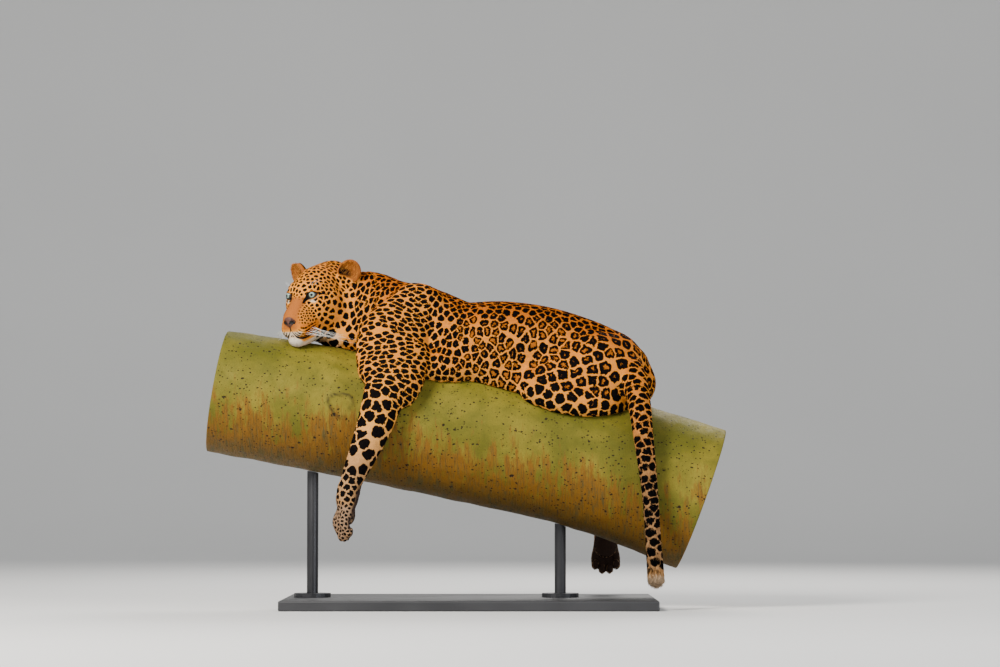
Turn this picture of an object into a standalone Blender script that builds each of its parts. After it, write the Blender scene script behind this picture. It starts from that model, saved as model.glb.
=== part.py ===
"""A life-size leopard lying astride a cut length of branch, on a plain display stand.

The animal faces -X with its left side towards -Y. The branch slopes down towards +X.
Rounded forms are blended in a distance field, which is meshed as one skin and then
parted into head, ears, neck, torso, legs, paws and tail with thin cuts.
Units are metres, +Z up, and the origin is under the middle of the base.
"""

import math

import bmesh
import bpy
import numpy as np
from mathutils import Matrix, Vector

GAP = 0.0003  # between nodes that touch
FAR = 1.0
ACROSS = (0.0, 1.0, 0.0)
LEFT, RIGHT = -1, 1  # along Y

# Stand
BASE_LENGTH = 1.10
BASE_WIDTH = 0.62
BASE_THICKNESS = 0.030
BASE_CENTRE = (0.0, -0.01)
ROD_RADIUS = 0.017
ROD_AT_X = {"front": -0.47, "rear": 0.27}
FLANGE_RADIUS = 0.055
FLANGE_THICKNESS = 0.012

# Branch: x and z of its middle line, and its radius there
BRANCH_LINE = (
    (-0.755, 0.646, 0.184),
    (-0.51, 0.604, 0.189),
    (-0.20, 0.546, 0.193),
    (0.03, 0.502, 0.196),
    (0.306, 0.446, 0.203),
    (0.522, 0.383, 0.213),
    (0.69, 0.322, 0.221),
)
BRANCH_SIDES = 28

# Fineness of the skin, and triangles after thinning
BODY_STEP, HEAD_STEP, PAW_STEP = 0.0075, 0.0023, 0.003
BODY_TRIANGLES, HEAD_TRIANGLES, PAW_TRIANGLES = 5600, 5000, 800

# Head: the point midway between the eyes, and how the head is turned
EYES_MIDDLE = (-0.500, -0.072, 0.9295)
HEAD_TURN = 57.0  # degrees from straight ahead towards the animal's left
HEAD_DROP = 10.0
EYE_RADIUS = 0.0145
EYE_SPREAD = 0.0405  # from the middle plane to an eye's centre


def clear_scene():
    for obj in list(bpy.data.objects):
        bpy.data.objects.remove(obj)


def new_collection(name):
    made = bpy.data.collections.new(name)
    bpy.context.scene.collection.children.link(made)
    return made


def finish(name, colour, roughness, metallic=0.0):
    made = bpy.data.materials.new(name)
    made.use_nodes = True
    shader = made.node_tree.nodes["Principled BSDF"]
    shader.inputs["Base Color"].default_value = (*colour, 1.0)
    shader.inputs["Roughness"].default_value = roughness
    shader.inputs["Metallic"].default_value = metallic
    return made


def node(name, mesh, material, collection):
    made = bpy.data.objects.new(name, mesh)
    mesh.name = name
    mesh.materials.clear()
    mesh.materials.append(material)
    collection.objects.link(made)
    return made


def between(rows, count):
    """Catmull-Rom curve through the rows, with count steps in each span."""
    rows = np.asarray(rows, float)
    padded = np.vstack([2 * rows[0] - rows[1], rows, 2 * rows[-1] - rows[-2]])
    out = []
    for i in range(1, len(padded) - 2):
        a, b, c, d = padded[i - 1 : i + 3]
        for t in np.arange(count) / count:
            out.append(
                0.5 * (2 * b + (c - a) * t + (2 * a - 5 * b + 4 * c - d) * t**2 + (3 * b - a - 3 * c + d) * t**3)
            )
    out.append(rows[-1])
    return np.array(out)


CORNERS = [(i, j, k) for i in (0, 1) for j in (0, 1) for k in (0, 1)]


def cell_corner(grid, i, j, k):
    """The values at one corner of every cell."""
    nx, ny, nz = (n - 1 for n in grid.shape)
    return grid[i : i + nx, j : j + ny, k : k + nz]


def face_corner(grid, axis, i, j):
    """The values at one corner of every cell face that is square to an axis."""
    shift = iter((i, j))
    return grid[tuple(slice(None) if n == axis else (slice(1, None) if next(shift) else slice(0, -1)) for n in range(3))]


class Field:
    """Signed distance on a grid, negative inside. Rounded forms are blended into it, and
    its zero surface is meshed with one point in each cell that the surface crosses."""

    def __init__(self, low, high, step):
        self.low, self.step = np.asarray(low, float), step
        self.shape = tuple(int(math.ceil((b - a) / step)) + 1 for a, b in zip(low, high))
        self.values = np.full(self.shape, FAR, np.float32)

    def window(self, low, high):
        """The slices of the grid that hold this box, and the points in them."""
        first = np.maximum(np.floor((np.asarray(low) - self.low) / self.step).astype(int), 0)
        last = np.minimum(np.ceil((np.asarray(high) - self.low) / self.step).astype(int) + 1, self.shape)
        if (first >= last).any():
            return None, None
        axes = [(self.low[k] + self.step * np.arange(first[k], last[k])).astype(np.float32) for k in range(3)]
        return tuple(slice(a, b) for a, b in zip(first, last)), np.stack(np.meshgrid(*axes, indexing="ij"), -1)

    def blend(self, spot, distance, width):
        """Smooth union: where two distances differ by less than width, the surface is rounded."""
        old = self.values[spot]
        share = np.maximum(width - np.abs(old - distance), 0.0) / width
        self.values[spot] = np.minimum(old, distance) - share * share * width / 4

    def carve(self, spot, distance, width):
        """Smooth difference: the form is taken away."""
        old = self.values[spot]
        share = np.maximum(width - np.abs(old + distance), 0.0) / width
        self.values[spot] = np.maximum(old, -distance) + share * share * width / 4

    def form(self, low, high, distance, width, cut=False):
        """Adds or cuts the form whose distance at the points of a box this function gives."""
        spot, points = self.window(low, high)
        if spot is not None:
            (self.carve if cut else self.blend)(spot, distance(points), width)

    def oval(self, centre, radii, axes=None, width=0.02, cut=False):
        """An ellipsoid whose own axes are the columns of axes."""
        axes = np.eye(3) if axes is None else np.asarray(axes)
        radii = np.asarray(radii, float)
        centre = np.asarray(centre)
        reach = np.abs(axes) @ radii + width + 3 * self.step
        self.form(
            centre - reach,
            centre + reach,
            lambda points: oval_distance((points - centre) @ axes, radii),
            width,
            cut,
        )

    def limb(self, stations, side, width=0.02, steps=4, cut=False):
        """A tube of oval sections. Each station is x, y, z, half width along side, half depth."""
        rows = between(stations, steps).astype(np.float32)
        margin = width + 3 * self.step
        reach = rows[:, 3:].max(1)[:, None] + margin
        spot, points = self.window((rows[:, :3] - reach).min(0), (rows[:, :3] + reach).max(0))
        if spot is None:
            return
        nearest = np.full(points.shape[:3], FAR, np.float32)
        local, radii = np.ones_like(points), np.full_like(points, 0.01)
        for a, b in zip(rows[:-1], rows[1:]):
            grow = max(a[3:].max(), b[3:].max()) + margin
            first = np.floor((np.minimum(a, b)[:3] - grow - points[0, 0, 0]) / self.step).astype(int)
            last = np.ceil((np.maximum(a, b)[:3] + grow - points[0, 0, 0]) / self.step).astype(int) + 1
            part = tuple(slice(max(p, 0), max(p, q, 0)) for p, q in zip(first, last))
            gap, place, size = section(points[part], a, b, np.asarray(side, np.float32))
            closer = gap < nearest[part]
            nearest[part] = np.where(closer, gap, nearest[part])
            local[part] = np.where(closer[..., None], place, local[part])
            radii[part] = np.where(closer[..., None], size, radii[part])
        (self.carve if cut else self.blend)(spot, oval_distance(local, radii), width)

    def close(self):
        """Ends the form at the grid's edge, and fills the cells where its surface would touch itself."""
        edge = np.ones(self.shape, bool)
        edge[1:-1, 1:-1, 1:-1] = False
        self.values[edge] = np.maximum(self.values[edge], 0.1 * self.step)
        for _ in range(12):
            inside = self.values < 0
            fill = np.zeros(self.shape, bool)
            for axis in range(3):
                a, b, c, d = (face_corner(inside, axis, i, j) for i, j in ((0, 0), (0, 1), (1, 0), (1, 1)))
                crossed = (a == d) & (b == c) & (a != b)
                for i, j in ((0, 0), (0, 1), (1, 0), (1, 1)):
                    face_corner(fill, axis, i, j)[...] |= crossed
            count = sum(cell_corner(inside, *corner).astype(np.int8) for corner in CORNERS)
            for corner in CORNERS[:4]:
                a, b = cell_corner(inside, *corner), cell_corner(inside, *(1 - v for v in corner))
                lone = ((count == 2) & a & b) | ((count == 6) & ~a & ~b)
                for other in CORNERS:
                    cell_corner(fill, *other)[...] |= lone
            fill &= ~inside & ~edge
            if not fill.any():
                break
            self.values[fill] = -0.05 * self.step

    def surface(self, name):
        """Surface nets: a point for each crossed cell, and a quad for each crossed grid edge."""
        value = self.values
        inside = value < 0
        count = sum(cell_corner(inside, *corner).astype(np.int8) for corner in CORNERS)
        cells = np.argwhere((count > 0) & (count < 8))
        number = np.full(count.shape, -1, np.int32)
        number[tuple(cells.T)] = np.arange(len(cells))
        total, crossings = np.zeros((len(cells), 3)), np.zeros(len(cells))
        for a in CORNERS:
            for axis in range(3):
                if a[axis]:
                    continue
                b = tuple(v + (n == axis) for n, v in enumerate(a))
                va, vb = (value[tuple((cells + c).T)].astype(float) for c in (a, b))
                crossed = (va < 0) != (vb < 0)
                share = np.where(crossed, va / np.where(crossed, va - vb, 1.0), 0.0)
                place = np.asarray(a, float) + share[:, None] * (np.arange(3) == axis)
                total += place * crossed[:, None]
                crossings += crossed
        points = self.low + (cells + total / crossings[:, None]) * self.step
        quads = []
        for axis in range(3):
            u, v = (axis + 1) % 3, (axis + 2) % 3
            first = inside[tuple(slice(0, -1) if n == axis else slice(None) for n in range(3))]
            second = inside[tuple(slice(1, None) if n == axis else slice(None) for n in range(3))]
            edges = np.argwhere(first != second)
            edges = edges[(edges[:, u] > 0) & (edges[:, v] > 0)]
            edges = edges[(edges[:, u] < self.shape[u] - 1) & (edges[:, v] < self.shape[v] - 1)]
            ring = []
            for du, dv in ((1, 1), (0, 1), (0, 0), (1, 0)):
                cell = edges.copy()
                cell[:, u] -= du
                cell[:, v] -= dv
                ring.append(number[tuple(cell.T)])
            ring = np.stack(ring, 1)
            leaving = first[tuple(edges.T)]
            quads.append(np.where(leaving[:, None], ring, ring[:, ::-1]))
        return mesh_of(name, points, np.concatenate(quads))


def oval_distance(local, radii):
    """Distance to an ellipsoid at the origin, exact on its surface."""
    share = local / radii
    near = np.maximum(np.linalg.norm(share, axis=-1), 1e-6)
    slope = np.maximum(np.linalg.norm(share / radii, axis=-1), 1e-6 / np.max(radii, initial=0.01))
    return (near * (near - 1.0) / slope).astype(np.float32)


def section(points, a, b, side):
    """For the stretch of tube between two stations: how far its middle line is, squared,
    the place across, deep and beyond its end from there, and the radii there."""
    line = b[:3] - a[:3]
    length = np.linalg.norm(line)
    along = line / length
    across = side - along * (along @ side)
    across /= np.linalg.norm(across)
    offset = points - a[:3]
    share = np.clip(offset @ along / length, 0.0, 1.0)
    offset = offset - share[..., None] * line
    wide = a[3] + share * (b[3] - a[3])
    high = a[4] + share * (b[4] - a[4])
    local = np.stack([offset @ across, offset @ np.cross(along, across), offset @ along], -1)
    return (offset**2).sum(-1), local, np.stack([wide, high, np.minimum(wide, high)], -1)


def mesh_of(name, points, faces):
    mesh = bpy.data.meshes.new(name)
    mesh.vertices.add(len(points))
    mesh.vertices.foreach_set("co", np.asarray(points, np.float32).ravel())
    size = faces.shape[1]
    mesh.loops.add(faces.size)
    mesh.loops.foreach_set("vertex_index", faces.astype(np.int32).ravel())
    mesh.polygons.add(len(faces))
    mesh.polygons.foreach_set("loop_start", np.arange(0, faces.size, size, dtype=np.int32))
    mesh.update(calc_edges=True)
    mesh.validate()
    return mesh


def head_axes():
    """Where the head's own axes point: forward, left and up are its columns."""
    turn, drop = math.radians(HEAD_TURN), math.radians(HEAD_DROP)
    level = Vector((-math.cos(turn), -math.sin(turn), 0.0))
    left = Vector((math.sin(turn), -math.cos(turn), 0.0))
    forward = (level * math.cos(drop) - Vector((0, 0, 1)) * math.sin(drop)).normalized()
    return Matrix((forward, left, forward.cross(left))).transposed()


HEAD_PLACE = Matrix.Translation(EYES_MIDDLE) @ head_axes().to_4x4()


class Placed:
    """Adds forms to a field in the axes of a place: a head's or a paw's own."""

    def __init__(self, field, place):
        self.field, self.place = field, place
        self.axes = np.array(place.to_3x3())

    def at(self, *point):
        return tuple(self.place @ Vector(point))

    def oval(self, point, radii, width=0.02, cut=False):
        self.field.oval(self.at(*point), radii, self.axes, width, cut)

    def limb(self, stations, width=0.02, cut=False, side=1):
        rows = [(*self.at(*row[:3]), *row[3:]) for row in stations]
        self.field.limb(rows, self.axes[:, side], width, 4, cut)


def head_forms(field):
    """Skull, face, jaws and their flesh. Places are forward, left and up from between the eyes."""
    head = Placed(field, HEAD_PLACE)
    head.oval((-0.092, 0.0, 0.007), (0.090, 0.069, 0.073))  # brain case
    head.oval((-0.160, 0.0, 0.014), (0.080, 0.062, 0.074), 0.03)  # nape
    head.oval((-0.034, 0.0, 0.000), (0.050, 0.050, 0.046), 0.03)  # forehead
    head.oval((-0.032, 0.0, -0.064), (0.068, 0.054, 0.054), 0.03)  # face below the eyes
    head.limb(
        [
            (-0.040, 0, -0.008, 0.034, 0.036),
            (0.000, 0, -0.022, 0.029, 0.033),
            (0.034, 0, -0.045, 0.024, 0.028),
            (0.060, 0, -0.064, 0.021, 0.018),
        ],
        0.02,
    )  # bridge of the nose
    head.oval((0.012, 0.0, -0.088), (0.056, 0.042, 0.038), 0.03)  # upper jaw
    head.limb(
        [
            (-0.090, 0, -0.095, 0.052, 0.034),
            (-0.020, 0, -0.116, 0.042, 0.027),
            (0.022, 0, -0.127, 0.034, 0.023),
            (0.046, 0, -0.128, 0.028, 0.0225),
        ],
        0.02,
    )  # lower jaw and chin
    for hand in (-1, 1):
        head.oval((-0.066, hand * 0.043, -0.042), (0.064, 0.042, 0.060), 0.03)  # cheek
        head.oval((-0.108, hand * 0.042, -0.074), (0.058, 0.048, 0.056), 0.04)  # jowl
        head.oval((0.012, hand * 0.021, -0.066), (0.046, 0.024, 0.030), 0.03)  # side of the muzzle
        head.limb(
            [(-0.010, hand * 0.048, -0.028, 0.009, 0.009), (-0.055, hand * 0.068, -0.024, 0.013, 0.015)], 0.03
        )  # cheekbone
        head.limb(
            [
                (-0.002, hand * 0.022, 0.019, 0.009, 0.009),
                (-0.010, hand * 0.040, 0.021, 0.009, 0.009),
                (-0.030, hand * 0.049, 0.012, 0.009, 0.009),
            ],
            0.024,
        )  # brow
        head.oval((0.044, hand * 0.021, -0.096), (0.031, 0.025, 0.027), 0.014)  # whisker pad
    head.oval((0.066, 0.0, -0.071), (0.017, 0.0215, 0.017), 0.006)  # nose pad


def head_details(field):
    """Eye openings, nostrils, the line of the mouth and the groove below the nose, cut in."""
    head = Placed(field, HEAD_PLACE)
    for hand in (-1, 1):
        head.oval((0.0, hand * EYE_SPREAD, 0.0), (0.0165,) * 3, 0.008)  # lids over the ball
        eye_opening(field, hand)
        head.limb(
            [
                (0.085, hand * 0.006, -0.075, 0.003, 0.0035),
                (0.078, hand * 0.0125, -0.072, 0.0035, 0.004),
                (0.068, hand * 0.019, -0.069, 0.002, 0.002),
            ],
            0.003,
            True,
        )  # nostril
        head.limb(
            [
                (0.078, hand * 0.001, -0.110, 0.0016, 0.003),
                (0.068, hand * 0.018, -0.120, 0.0016, 0.0035),
                (0.043, hand * 0.036, -0.123, 0.0016, 0.0035),
                (0.010, hand * 0.045, -0.114, 0.0016, 0.003),
            ],
            0.003,
            True,
        )  # mouth
    head.limb([(0.084, 0, -0.084, 0.001, 0.002), (0.079, 0, -0.109, 0.0012, 0.003)], 0.003, True)


def eye_axis(hand):
    """Where an eye looks, in the head's axes."""
    return Vector((math.cos(math.radians(20)), hand * math.sin(math.radians(20)), 0.06)).normalized()


def eye_opening(field, hand):
    """Cuts the almond between the lids, two arcs that meet at its corners, in front of the ball."""
    half_wide, half_high, depth = 0.0145, 0.0092, 0.0030
    radius = (half_wide**2 + half_high**2) / (2 * half_high)
    head = Placed(field, HEAD_PLACE)
    centre = np.array(head.at(0.0, hand * EYE_SPREAD, 0.0))
    look = head.axes @ np.array(eye_axis(hand))
    slant = head.axes @ np.array((0.0, hand * 0.96, 0.20))  # the outer corner sits higher
    across = slant - look * (look @ slant)
    across /= np.linalg.norm(across)
    above = np.cross(look, across)

    def distance(points):
        offset = points - centre
        u, v, w = offset @ across, offset @ above, offset @ look
        almond = np.maximum(np.hypot(u, v + radius - half_high), np.hypot(u, v - radius + half_high)) - radius
        return np.maximum(almond, depth - w).astype(np.float32)

    field.form(centre - 0.03, centre + 0.03, distance, 0.002, True)


EAR_RADII, EAR_MIDDLE = (0.020, 0.036, 0.042), 0.022  # half sizes, and the middle's height over the foot


def ear_place(hand):
    """An ear's own axes, with its opening along the first and its tip along the third."""
    up = Vector((-0.10, hand * 0.52, 0.85)).normalized()
    front = Vector((0.86, hand * 0.42, 0.0))
    front = (front - up * front.dot(up)).normalized()
    foot = Vector((-0.120, hand * 0.080, 0.030))
    local = Matrix.Translation(foot) @ Matrix((front, up.cross(front), up)).transposed().to_4x4()
    return HEAD_PLACE @ local


def ear_forms(field):
    """Round cups on the sides of the skull: thick at the root and thin at the rim."""
    for hand in (LEFT, RIGHT):
        ear = Placed(field, ear_place(-hand))
        ear.oval((0.0, 0.0, EAR_MIDDLE), EAR_RADII, 0.012)
        ear.oval((0.0165, 0.0, 0.029), (0.0185, 0.031, 0.0345), 0.004, True)


NECK = (
    (-0.425, 0.035, 0.893, 0.075, 0.085),
    (-0.365, 0.045, 0.893, 0.092, 0.112),
    (-0.310, 0.040, 0.885, 0.100, 0.126),
    (-0.250, 0.020, 0.862, 0.108, 0.126),
    (-0.180, 0.008, 0.845, 0.115, 0.118),
)
THROAT = (
    (-0.452, 0.030, 0.835, 0.050, 0.040),
    (-0.400, 0.030, 0.822, 0.075, 0.056),
    (-0.330, 0.020, 0.812, 0.095, 0.070),
)
TRUNK = (
    (-0.240, 0.015, 0.840, 0.085, 0.105),
    (-0.140, 0.008, 0.830, 0.122, 0.128),
    (-0.030, 0.002, 0.784, 0.142, 0.134),
    (0.090, -0.002, 0.775, 0.150, 0.143),
    (0.200, -0.004, 0.764, 0.148, 0.141),
    (0.300, -0.004, 0.744, 0.136, 0.133),
    (0.390, 0.000, 0.718, 0.118, 0.122),
    (0.450, 0.004, 0.690, 0.098, 0.102),
    (0.486, 0.008, 0.664, 0.072, 0.078),
)
# Flank that lies over the branch, on the left; the right is its mirror image
FLANK = (
    (-0.080, -0.080, 0.722, 0.055, 0.055),
    (0.030, -0.080, 0.714, 0.055, 0.060),
    (0.130, -0.087, 0.678, 0.056, 0.062),
    (0.230, -0.092, 0.650, 0.056, 0.062),
    (0.360, -0.090, 0.636, 0.055, 0.060),
)
# Legs: x, y, z, half width, half depth. The left foreleg hangs down the near side of the branch.
LEFT_FORELEG = (
    (-0.160, -0.080, 0.925, 0.026, 0.045),
    (-0.195, -0.108, 0.860, 0.046, 0.085),
    (-0.228, -0.132, 0.790, 0.058, 0.104),
    (-0.226, -0.164, 0.715, 0.060, 0.106),
    (-0.232, -0.196, 0.655, 0.056, 0.090),
    (-0.252, -0.218, 0.612, 0.050, 0.062),
    (-0.279, -0.238, 0.529, 0.042, 0.052),
    (-0.316, -0.246, 0.439, 0.036, 0.041),
    (-0.341, -0.247, 0.379, 0.034, 0.033),
    (-0.354, -0.247, 0.325, 0.034, 0.029),
)
RIGHT_FORELEG = (
    (-0.160, 0.085, 0.915, 0.026, 0.045),
    (-0.190, 0.112, 0.850, 0.046, 0.085),
    (-0.215, 0.140, 0.785, 0.056, 0.096),
    (-0.205, 0.172, 0.725, 0.054, 0.080),
    (-0.200, 0.205, 0.675, 0.046, 0.058),
    (-0.270, 0.222, 0.655, 0.040, 0.044),
    (-0.355, 0.222, 0.665, 0.035, 0.038),
    (-0.430, 0.212, 0.672, 0.031, 0.032),
    (-0.480, 0.204, 0.680, 0.031, 0.028),
)
LEFT_THIGH = (
    (0.445, -0.035, 0.740, 0.070, 0.080),
    (0.400, -0.078, 0.712, 0.080, 0.125),
    (0.325, -0.105, 0.685, 0.070, 0.115),
    (0.245, -0.128, 0.668, 0.056, 0.078),
    (0.200, -0.138, 0.655, 0.046, 0.058),
)
LEFT_SHANK = (
    (0.195, -0.142, 0.650, 0.044, 0.050),
    (0.270, -0.160, 0.618, 0.042, 0.048),
    (0.360, -0.155, 0.600, 0.036, 0.040),
    (0.430, -0.128, 0.602, 0.028, 0.032),
    (0.462, -0.100, 0.612, 0.022, 0.026),
)
LEFT_HIND_FOOT = (
    (0.455, -0.085, 0.625, 0.024, 0.024),
    (0.380, -0.020, 0.650, 0.026, 0.022),
    (0.318, 0.040, 0.662, 0.030, 0.022),
)
RIGHT_THIGH = (
    (0.468, 0.040, 0.722, 0.070, 0.078),
    (0.445, 0.090, 0.690, 0.078, 0.105),
    (0.395, 0.145, 0.640, 0.068, 0.100),
    (0.335, 0.195, 0.585, 0.056, 0.075),
    (0.300, 0.225, 0.545, 0.046, 0.056),
)
RIGHT_SHANK = (
    (0.300, 0.228, 0.545, 0.044, 0.052),
    (0.340, 0.246, 0.480, 0.040, 0.046),
    (0.390, 0.256, 0.410, 0.030, 0.033),
    (0.420, 0.262, 0.350, 0.024, 0.026),
    (0.420, 0.262, 0.290, 0.025, 0.024),
    (0.414, 0.262, 0.225, 0.030, 0.024),
)
TAIL = (
    (0.400, 0.005, 0.765, 0.050, 0.045),
    (0.445, -0.012, 0.738, 0.050, 0.046),
    (0.470, -0.078, 0.716, 0.045, 0.044),
    (0.489, -0.142, 0.657, 0.040, 0.040),
    (0.500, -0.194, 0.590, 0.036, 0.036),
    (0.508, -0.228, 0.510, 0.032, 0.032),
    (0.518, -0.245, 0.420, 0.029, 0.029),
    (0.528, -0.248, 0.320, 0.026, 0.026),
    (0.535, -0.248, 0.210, 0.025, 0.025),
    (0.540, -0.248, 0.140, 0.026, 0.026),
    (0.543, -0.248, 0.095, 0.027, 0.027),
)


def paw_place(wrist, toward, back):
    """A paw's own axes: its first towards the toes, its third out of the back of the foot."""
    toward = Vector(toward).normalized()
    back = (Vector(back) - toward * Vector(back).dot(toward)).normalized()
    return Matrix.Translation(wrist) @ Matrix((toward, back.cross(toward), back)).transposed().to_4x4()


PAWS = {
    "paw_left_fore": paw_place((-0.354, -0.247, 0.332), (-0.12, 0.0, -0.99), (-0.92, -0.38, 0.1)),
    "paw_right_fore": paw_place((-0.480, 0.204, 0.680), (-0.97, -0.10, 0.10), (0.0, 0.80, 0.55)),
    "foot_left_hind": paw_place((0.318, 0.040, 0.664), (-0.80, 0.58, -0.16), (0.0, 0.35, 0.93)),
    "foot_right_hind": paw_place((0.414, 0.260, 0.225), (0.01, -0.03, -0.99), (0.0, 1.0, 0.0)),
}
TOES = ((-0.031, 0.106), (-0.011, 0.119), (0.011, 0.119), (0.031, 0.106))  # place across, reach


def paw_forms(field, place):
    """Palm, four toes with their knuckles, and the pads under them."""
    paw = Placed(field, place)
    paw.limb(
        [(-0.015, 0, 0.0, 0.031, 0.026), (0.020, 0, 0.0, 0.034, 0.024), (0.056, 0, 0.0, 0.038, 0.021)],
        0.02,
    )
    paw.oval((0.056, 0.0, -0.014), (0.026, 0.029, 0.014), 0.008)
    for across, reach in TOES:
        paw.limb(
            [
                (0.045, across * 0.72, 0.004, 0.012, 0.015),
                (0.078, across, 0.010, 0.0125, 0.0145),
                (reach, across * 1.04, -0.003, 0.0115, 0.0125),
            ],
            0.004,
        )
        paw.oval((reach - 0.004, across * 1.04, -0.012), (0.013, 0.0085, 0.007), 0.003)


def trunk_forms(field):
    field.limb(NECK, ACROSS, 0.04)
    field.limb(THROAT, ACROSS, 0.03)
    field.limb(TRUNK, ACROSS, 0.04)
    for hand in (LEFT, RIGHT):
        field.limb([(x, -hand * y, z, wide, high) for x, y, z, wide, high in FLANK], ACROSS, 0.04)
    field.oval((-0.085, -0.118, 0.712), (0.095, 0.045, 0.050), width=0.03)  # skin behind the elbow
    field.oval((-0.155, -0.075, 0.905), (0.075, 0.045, 0.062), width=0.03)  # shoulder blades
    field.oval((-0.150, 0.080, 0.895), (0.075, 0.045, 0.062), width=0.03)
    for stations in (LEFT_FORELEG, RIGHT_FORELEG, LEFT_THIGH, LEFT_SHANK, RIGHT_THIGH, RIGHT_SHANK):
        field.limb(stations, ACROSS, 0.025)
    field.limb(LEFT_HIND_FOOT, ACROSS, 0.012)
    field.limb(TAIL, ACROSS, 0.015)


def leopard(field):
    """The whole animal in one field, with the branch taken away."""
    trunk_forms(field)
    head_forms(field)
    ear_forms(field)
    head_details(field)
    for place in PAWS.values():
        paw_forms(field, place)
    field.limb([(x, 0.0, z, r, r) for x, z, r in BRANCH_LINE], ACROSS, 0.004, 3, cut=True)
    field.close()
    return field


def with_modifiers(mesh, settings):
    """The mesh after a stack of modifiers, each given as its type and its values."""
    obj = bpy.data.objects.new("work", mesh)
    bpy.context.scene.collection.objects.link(obj)
    for kind, values in settings:
        modifier = obj.modifiers.new(kind.title(), kind)
        for key, value in values.items():
            setattr(modifier, key, value)
    graph = bpy.context.evaluated_depsgraph_get()
    graph.update()
    out = bpy.data.meshes.new_from_object(obj.evaluated_get(graph))
    bpy.data.objects.remove(obj)
    return out


def boolean(mesh, other, operation):
    """mesh united with, cut by or kept inside other."""
    cutter = bpy.data.objects.new("cutter", other)
    bpy.context.scene.collection.objects.link(cutter)
    out = with_modifiers(mesh, [("BOOLEAN", {"object": cutter, "operation": operation, "solver": "EXACT"})])
    bpy.data.objects.remove(cutter)
    return out


def largest_shell(mesh):
    """The mesh without the loose scraps that a cut can leave."""
    bm = bmesh.new()
    bm.from_mesh(mesh)
    left, shells = set(bm.faces), []
    while left:
        shell, edge = set(), [left.pop()]
        while edge:
            face = edge.pop()
            shell.add(face)
            for e in face.edges:
                for near in e.link_faces:
                    if near in left:
                        left.discard(near)
                        edge.append(near)
        shells.append(shell)
    keep = max(shells, key=lambda shell: sum(face.calc_area() for face in shell))
    bmesh.ops.delete(bm, geom=[face for face in bm.faces if face not in keep], context="FACES")
    out = bpy.data.meshes.new("shell")
    bm.to_mesh(out)
    bm.free()
    return out


def bmesh_made(name, make, **values):
    bm = bmesh.new()
    make(bm, **values)
    mesh = bpy.data.meshes.new(name)
    bm.to_mesh(mesh)
    bm.free()
    return mesh


def box_mesh(low, high, place=None, grow=0.0):
    """A box from its low to its high corner, in the axes of place."""
    size = [b - a + 2 * grow for a, b in zip(low, high)]
    middle = [(a + b) / 2 for a, b in zip(low, high)]
    local = Matrix.Translation(middle) @ Matrix.Diagonal((*size, 1.0))
    return bmesh_made("box", bmesh.ops.create_cube, size=1.0, matrix=(place or Matrix()) @ local)


def ball_mesh(centre, radius):
    place = Matrix.Translation(centre)
    return bmesh_made(
        "ball", bmesh.ops.create_uvsphere, u_segments=16, v_segments=10, radius=radius, matrix=place
    )


def cylinder_mesh(foot, radius, height, sides=24):
    place = Matrix.Translation(Vector(foot) + Vector((0, 0, height / 2)))
    return bmesh_made(
        "cylinder",
        bmesh.ops.create_cone,
        cap_ends=True,
        segments=sides,
        radius1=radius,
        radius2=radius,
        depth=height,
        matrix=place,
    )


def branch_mesh(grow=0.0):
    """A round tube along the branch's middle line, with flat cut ends."""
    rows = between([(x, 0.0, z, r) for x, z, r in BRANCH_LINE], 2)
    line, radius = rows[:, :3], rows[:, 3] + grow
    along = np.gradient(line, axis=0)
    along /= np.linalg.norm(along, axis=1)[:, None]
    line[0] -= along[0] * grow
    line[-1] += along[-1] * grow
    angle = np.arange(BRANCH_SIDES) * 2 * math.pi / BRANCH_SIDES
    above = np.cross(along, ACROSS)
    ring = np.cos(angle)[None, :, None] * np.asarray(ACROSS) + np.sin(angle)[None, :, None] * above[:, None]
    points = line[:, None] + ring * radius[:, None, None]
    bm = bmesh.new()
    verts = [[bm.verts.new(p) for p in row] for row in points]
    for near, far in zip(verts[:-1], verts[1:]):
        for s in range(BRANCH_SIDES):
            n = (s + 1) % BRANCH_SIDES
            bm.faces.new((near[s], near[n], far[n], far[s]))
    bm.faces.new(verts[0])
    bm.faces.new(verts[-1])
    bmesh.ops.recalc_face_normals(bm, faces=bm.faces)
    mesh = bpy.data.meshes.new("branch")
    bm.to_mesh(mesh)
    bm.free()
    return mesh


def skin(low, high, step, triangles, rounds):
    """The animal's surface inside a box, smoothed, thinned to this many triangles, clear of the branch."""
    mesh = leopard(Field(low, high, step)).surface("skin")
    count = sum(len(face.vertices) - 2 for face in mesh.polygons)
    mesh = with_modifiers(
        mesh,
        [
            ("SMOOTH", {"factor": 0.5, "iterations": rounds}),
            ("TRIANGULATE", {}),
            ("DECIMATE", {"ratio": triangles / count}),
        ],
    )
    return largest_shell(boolean(mesh, branch_mesh(GAP), "DIFFERENCE"))


def around(point, reach):
    return [v - reach for v in point], [v + reach for v in point]


def split(rest, cutter, grown):
    """Splits a solid: what is inside the cutter, and what is outside the same cutter grown by the gap."""
    return largest_shell(boolean(rest, cutter, "INTERSECT")), largest_shell(boolean(rest, grown, "DIFFERENCE"))


def part_off(rest, low, high, place=None):
    """Splits a solid at a box: what is inside it, and the rest, with a thin gap between them."""
    return split(rest, box_mesh(low, high, place), box_mesh(low, high, place, GAP))


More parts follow.
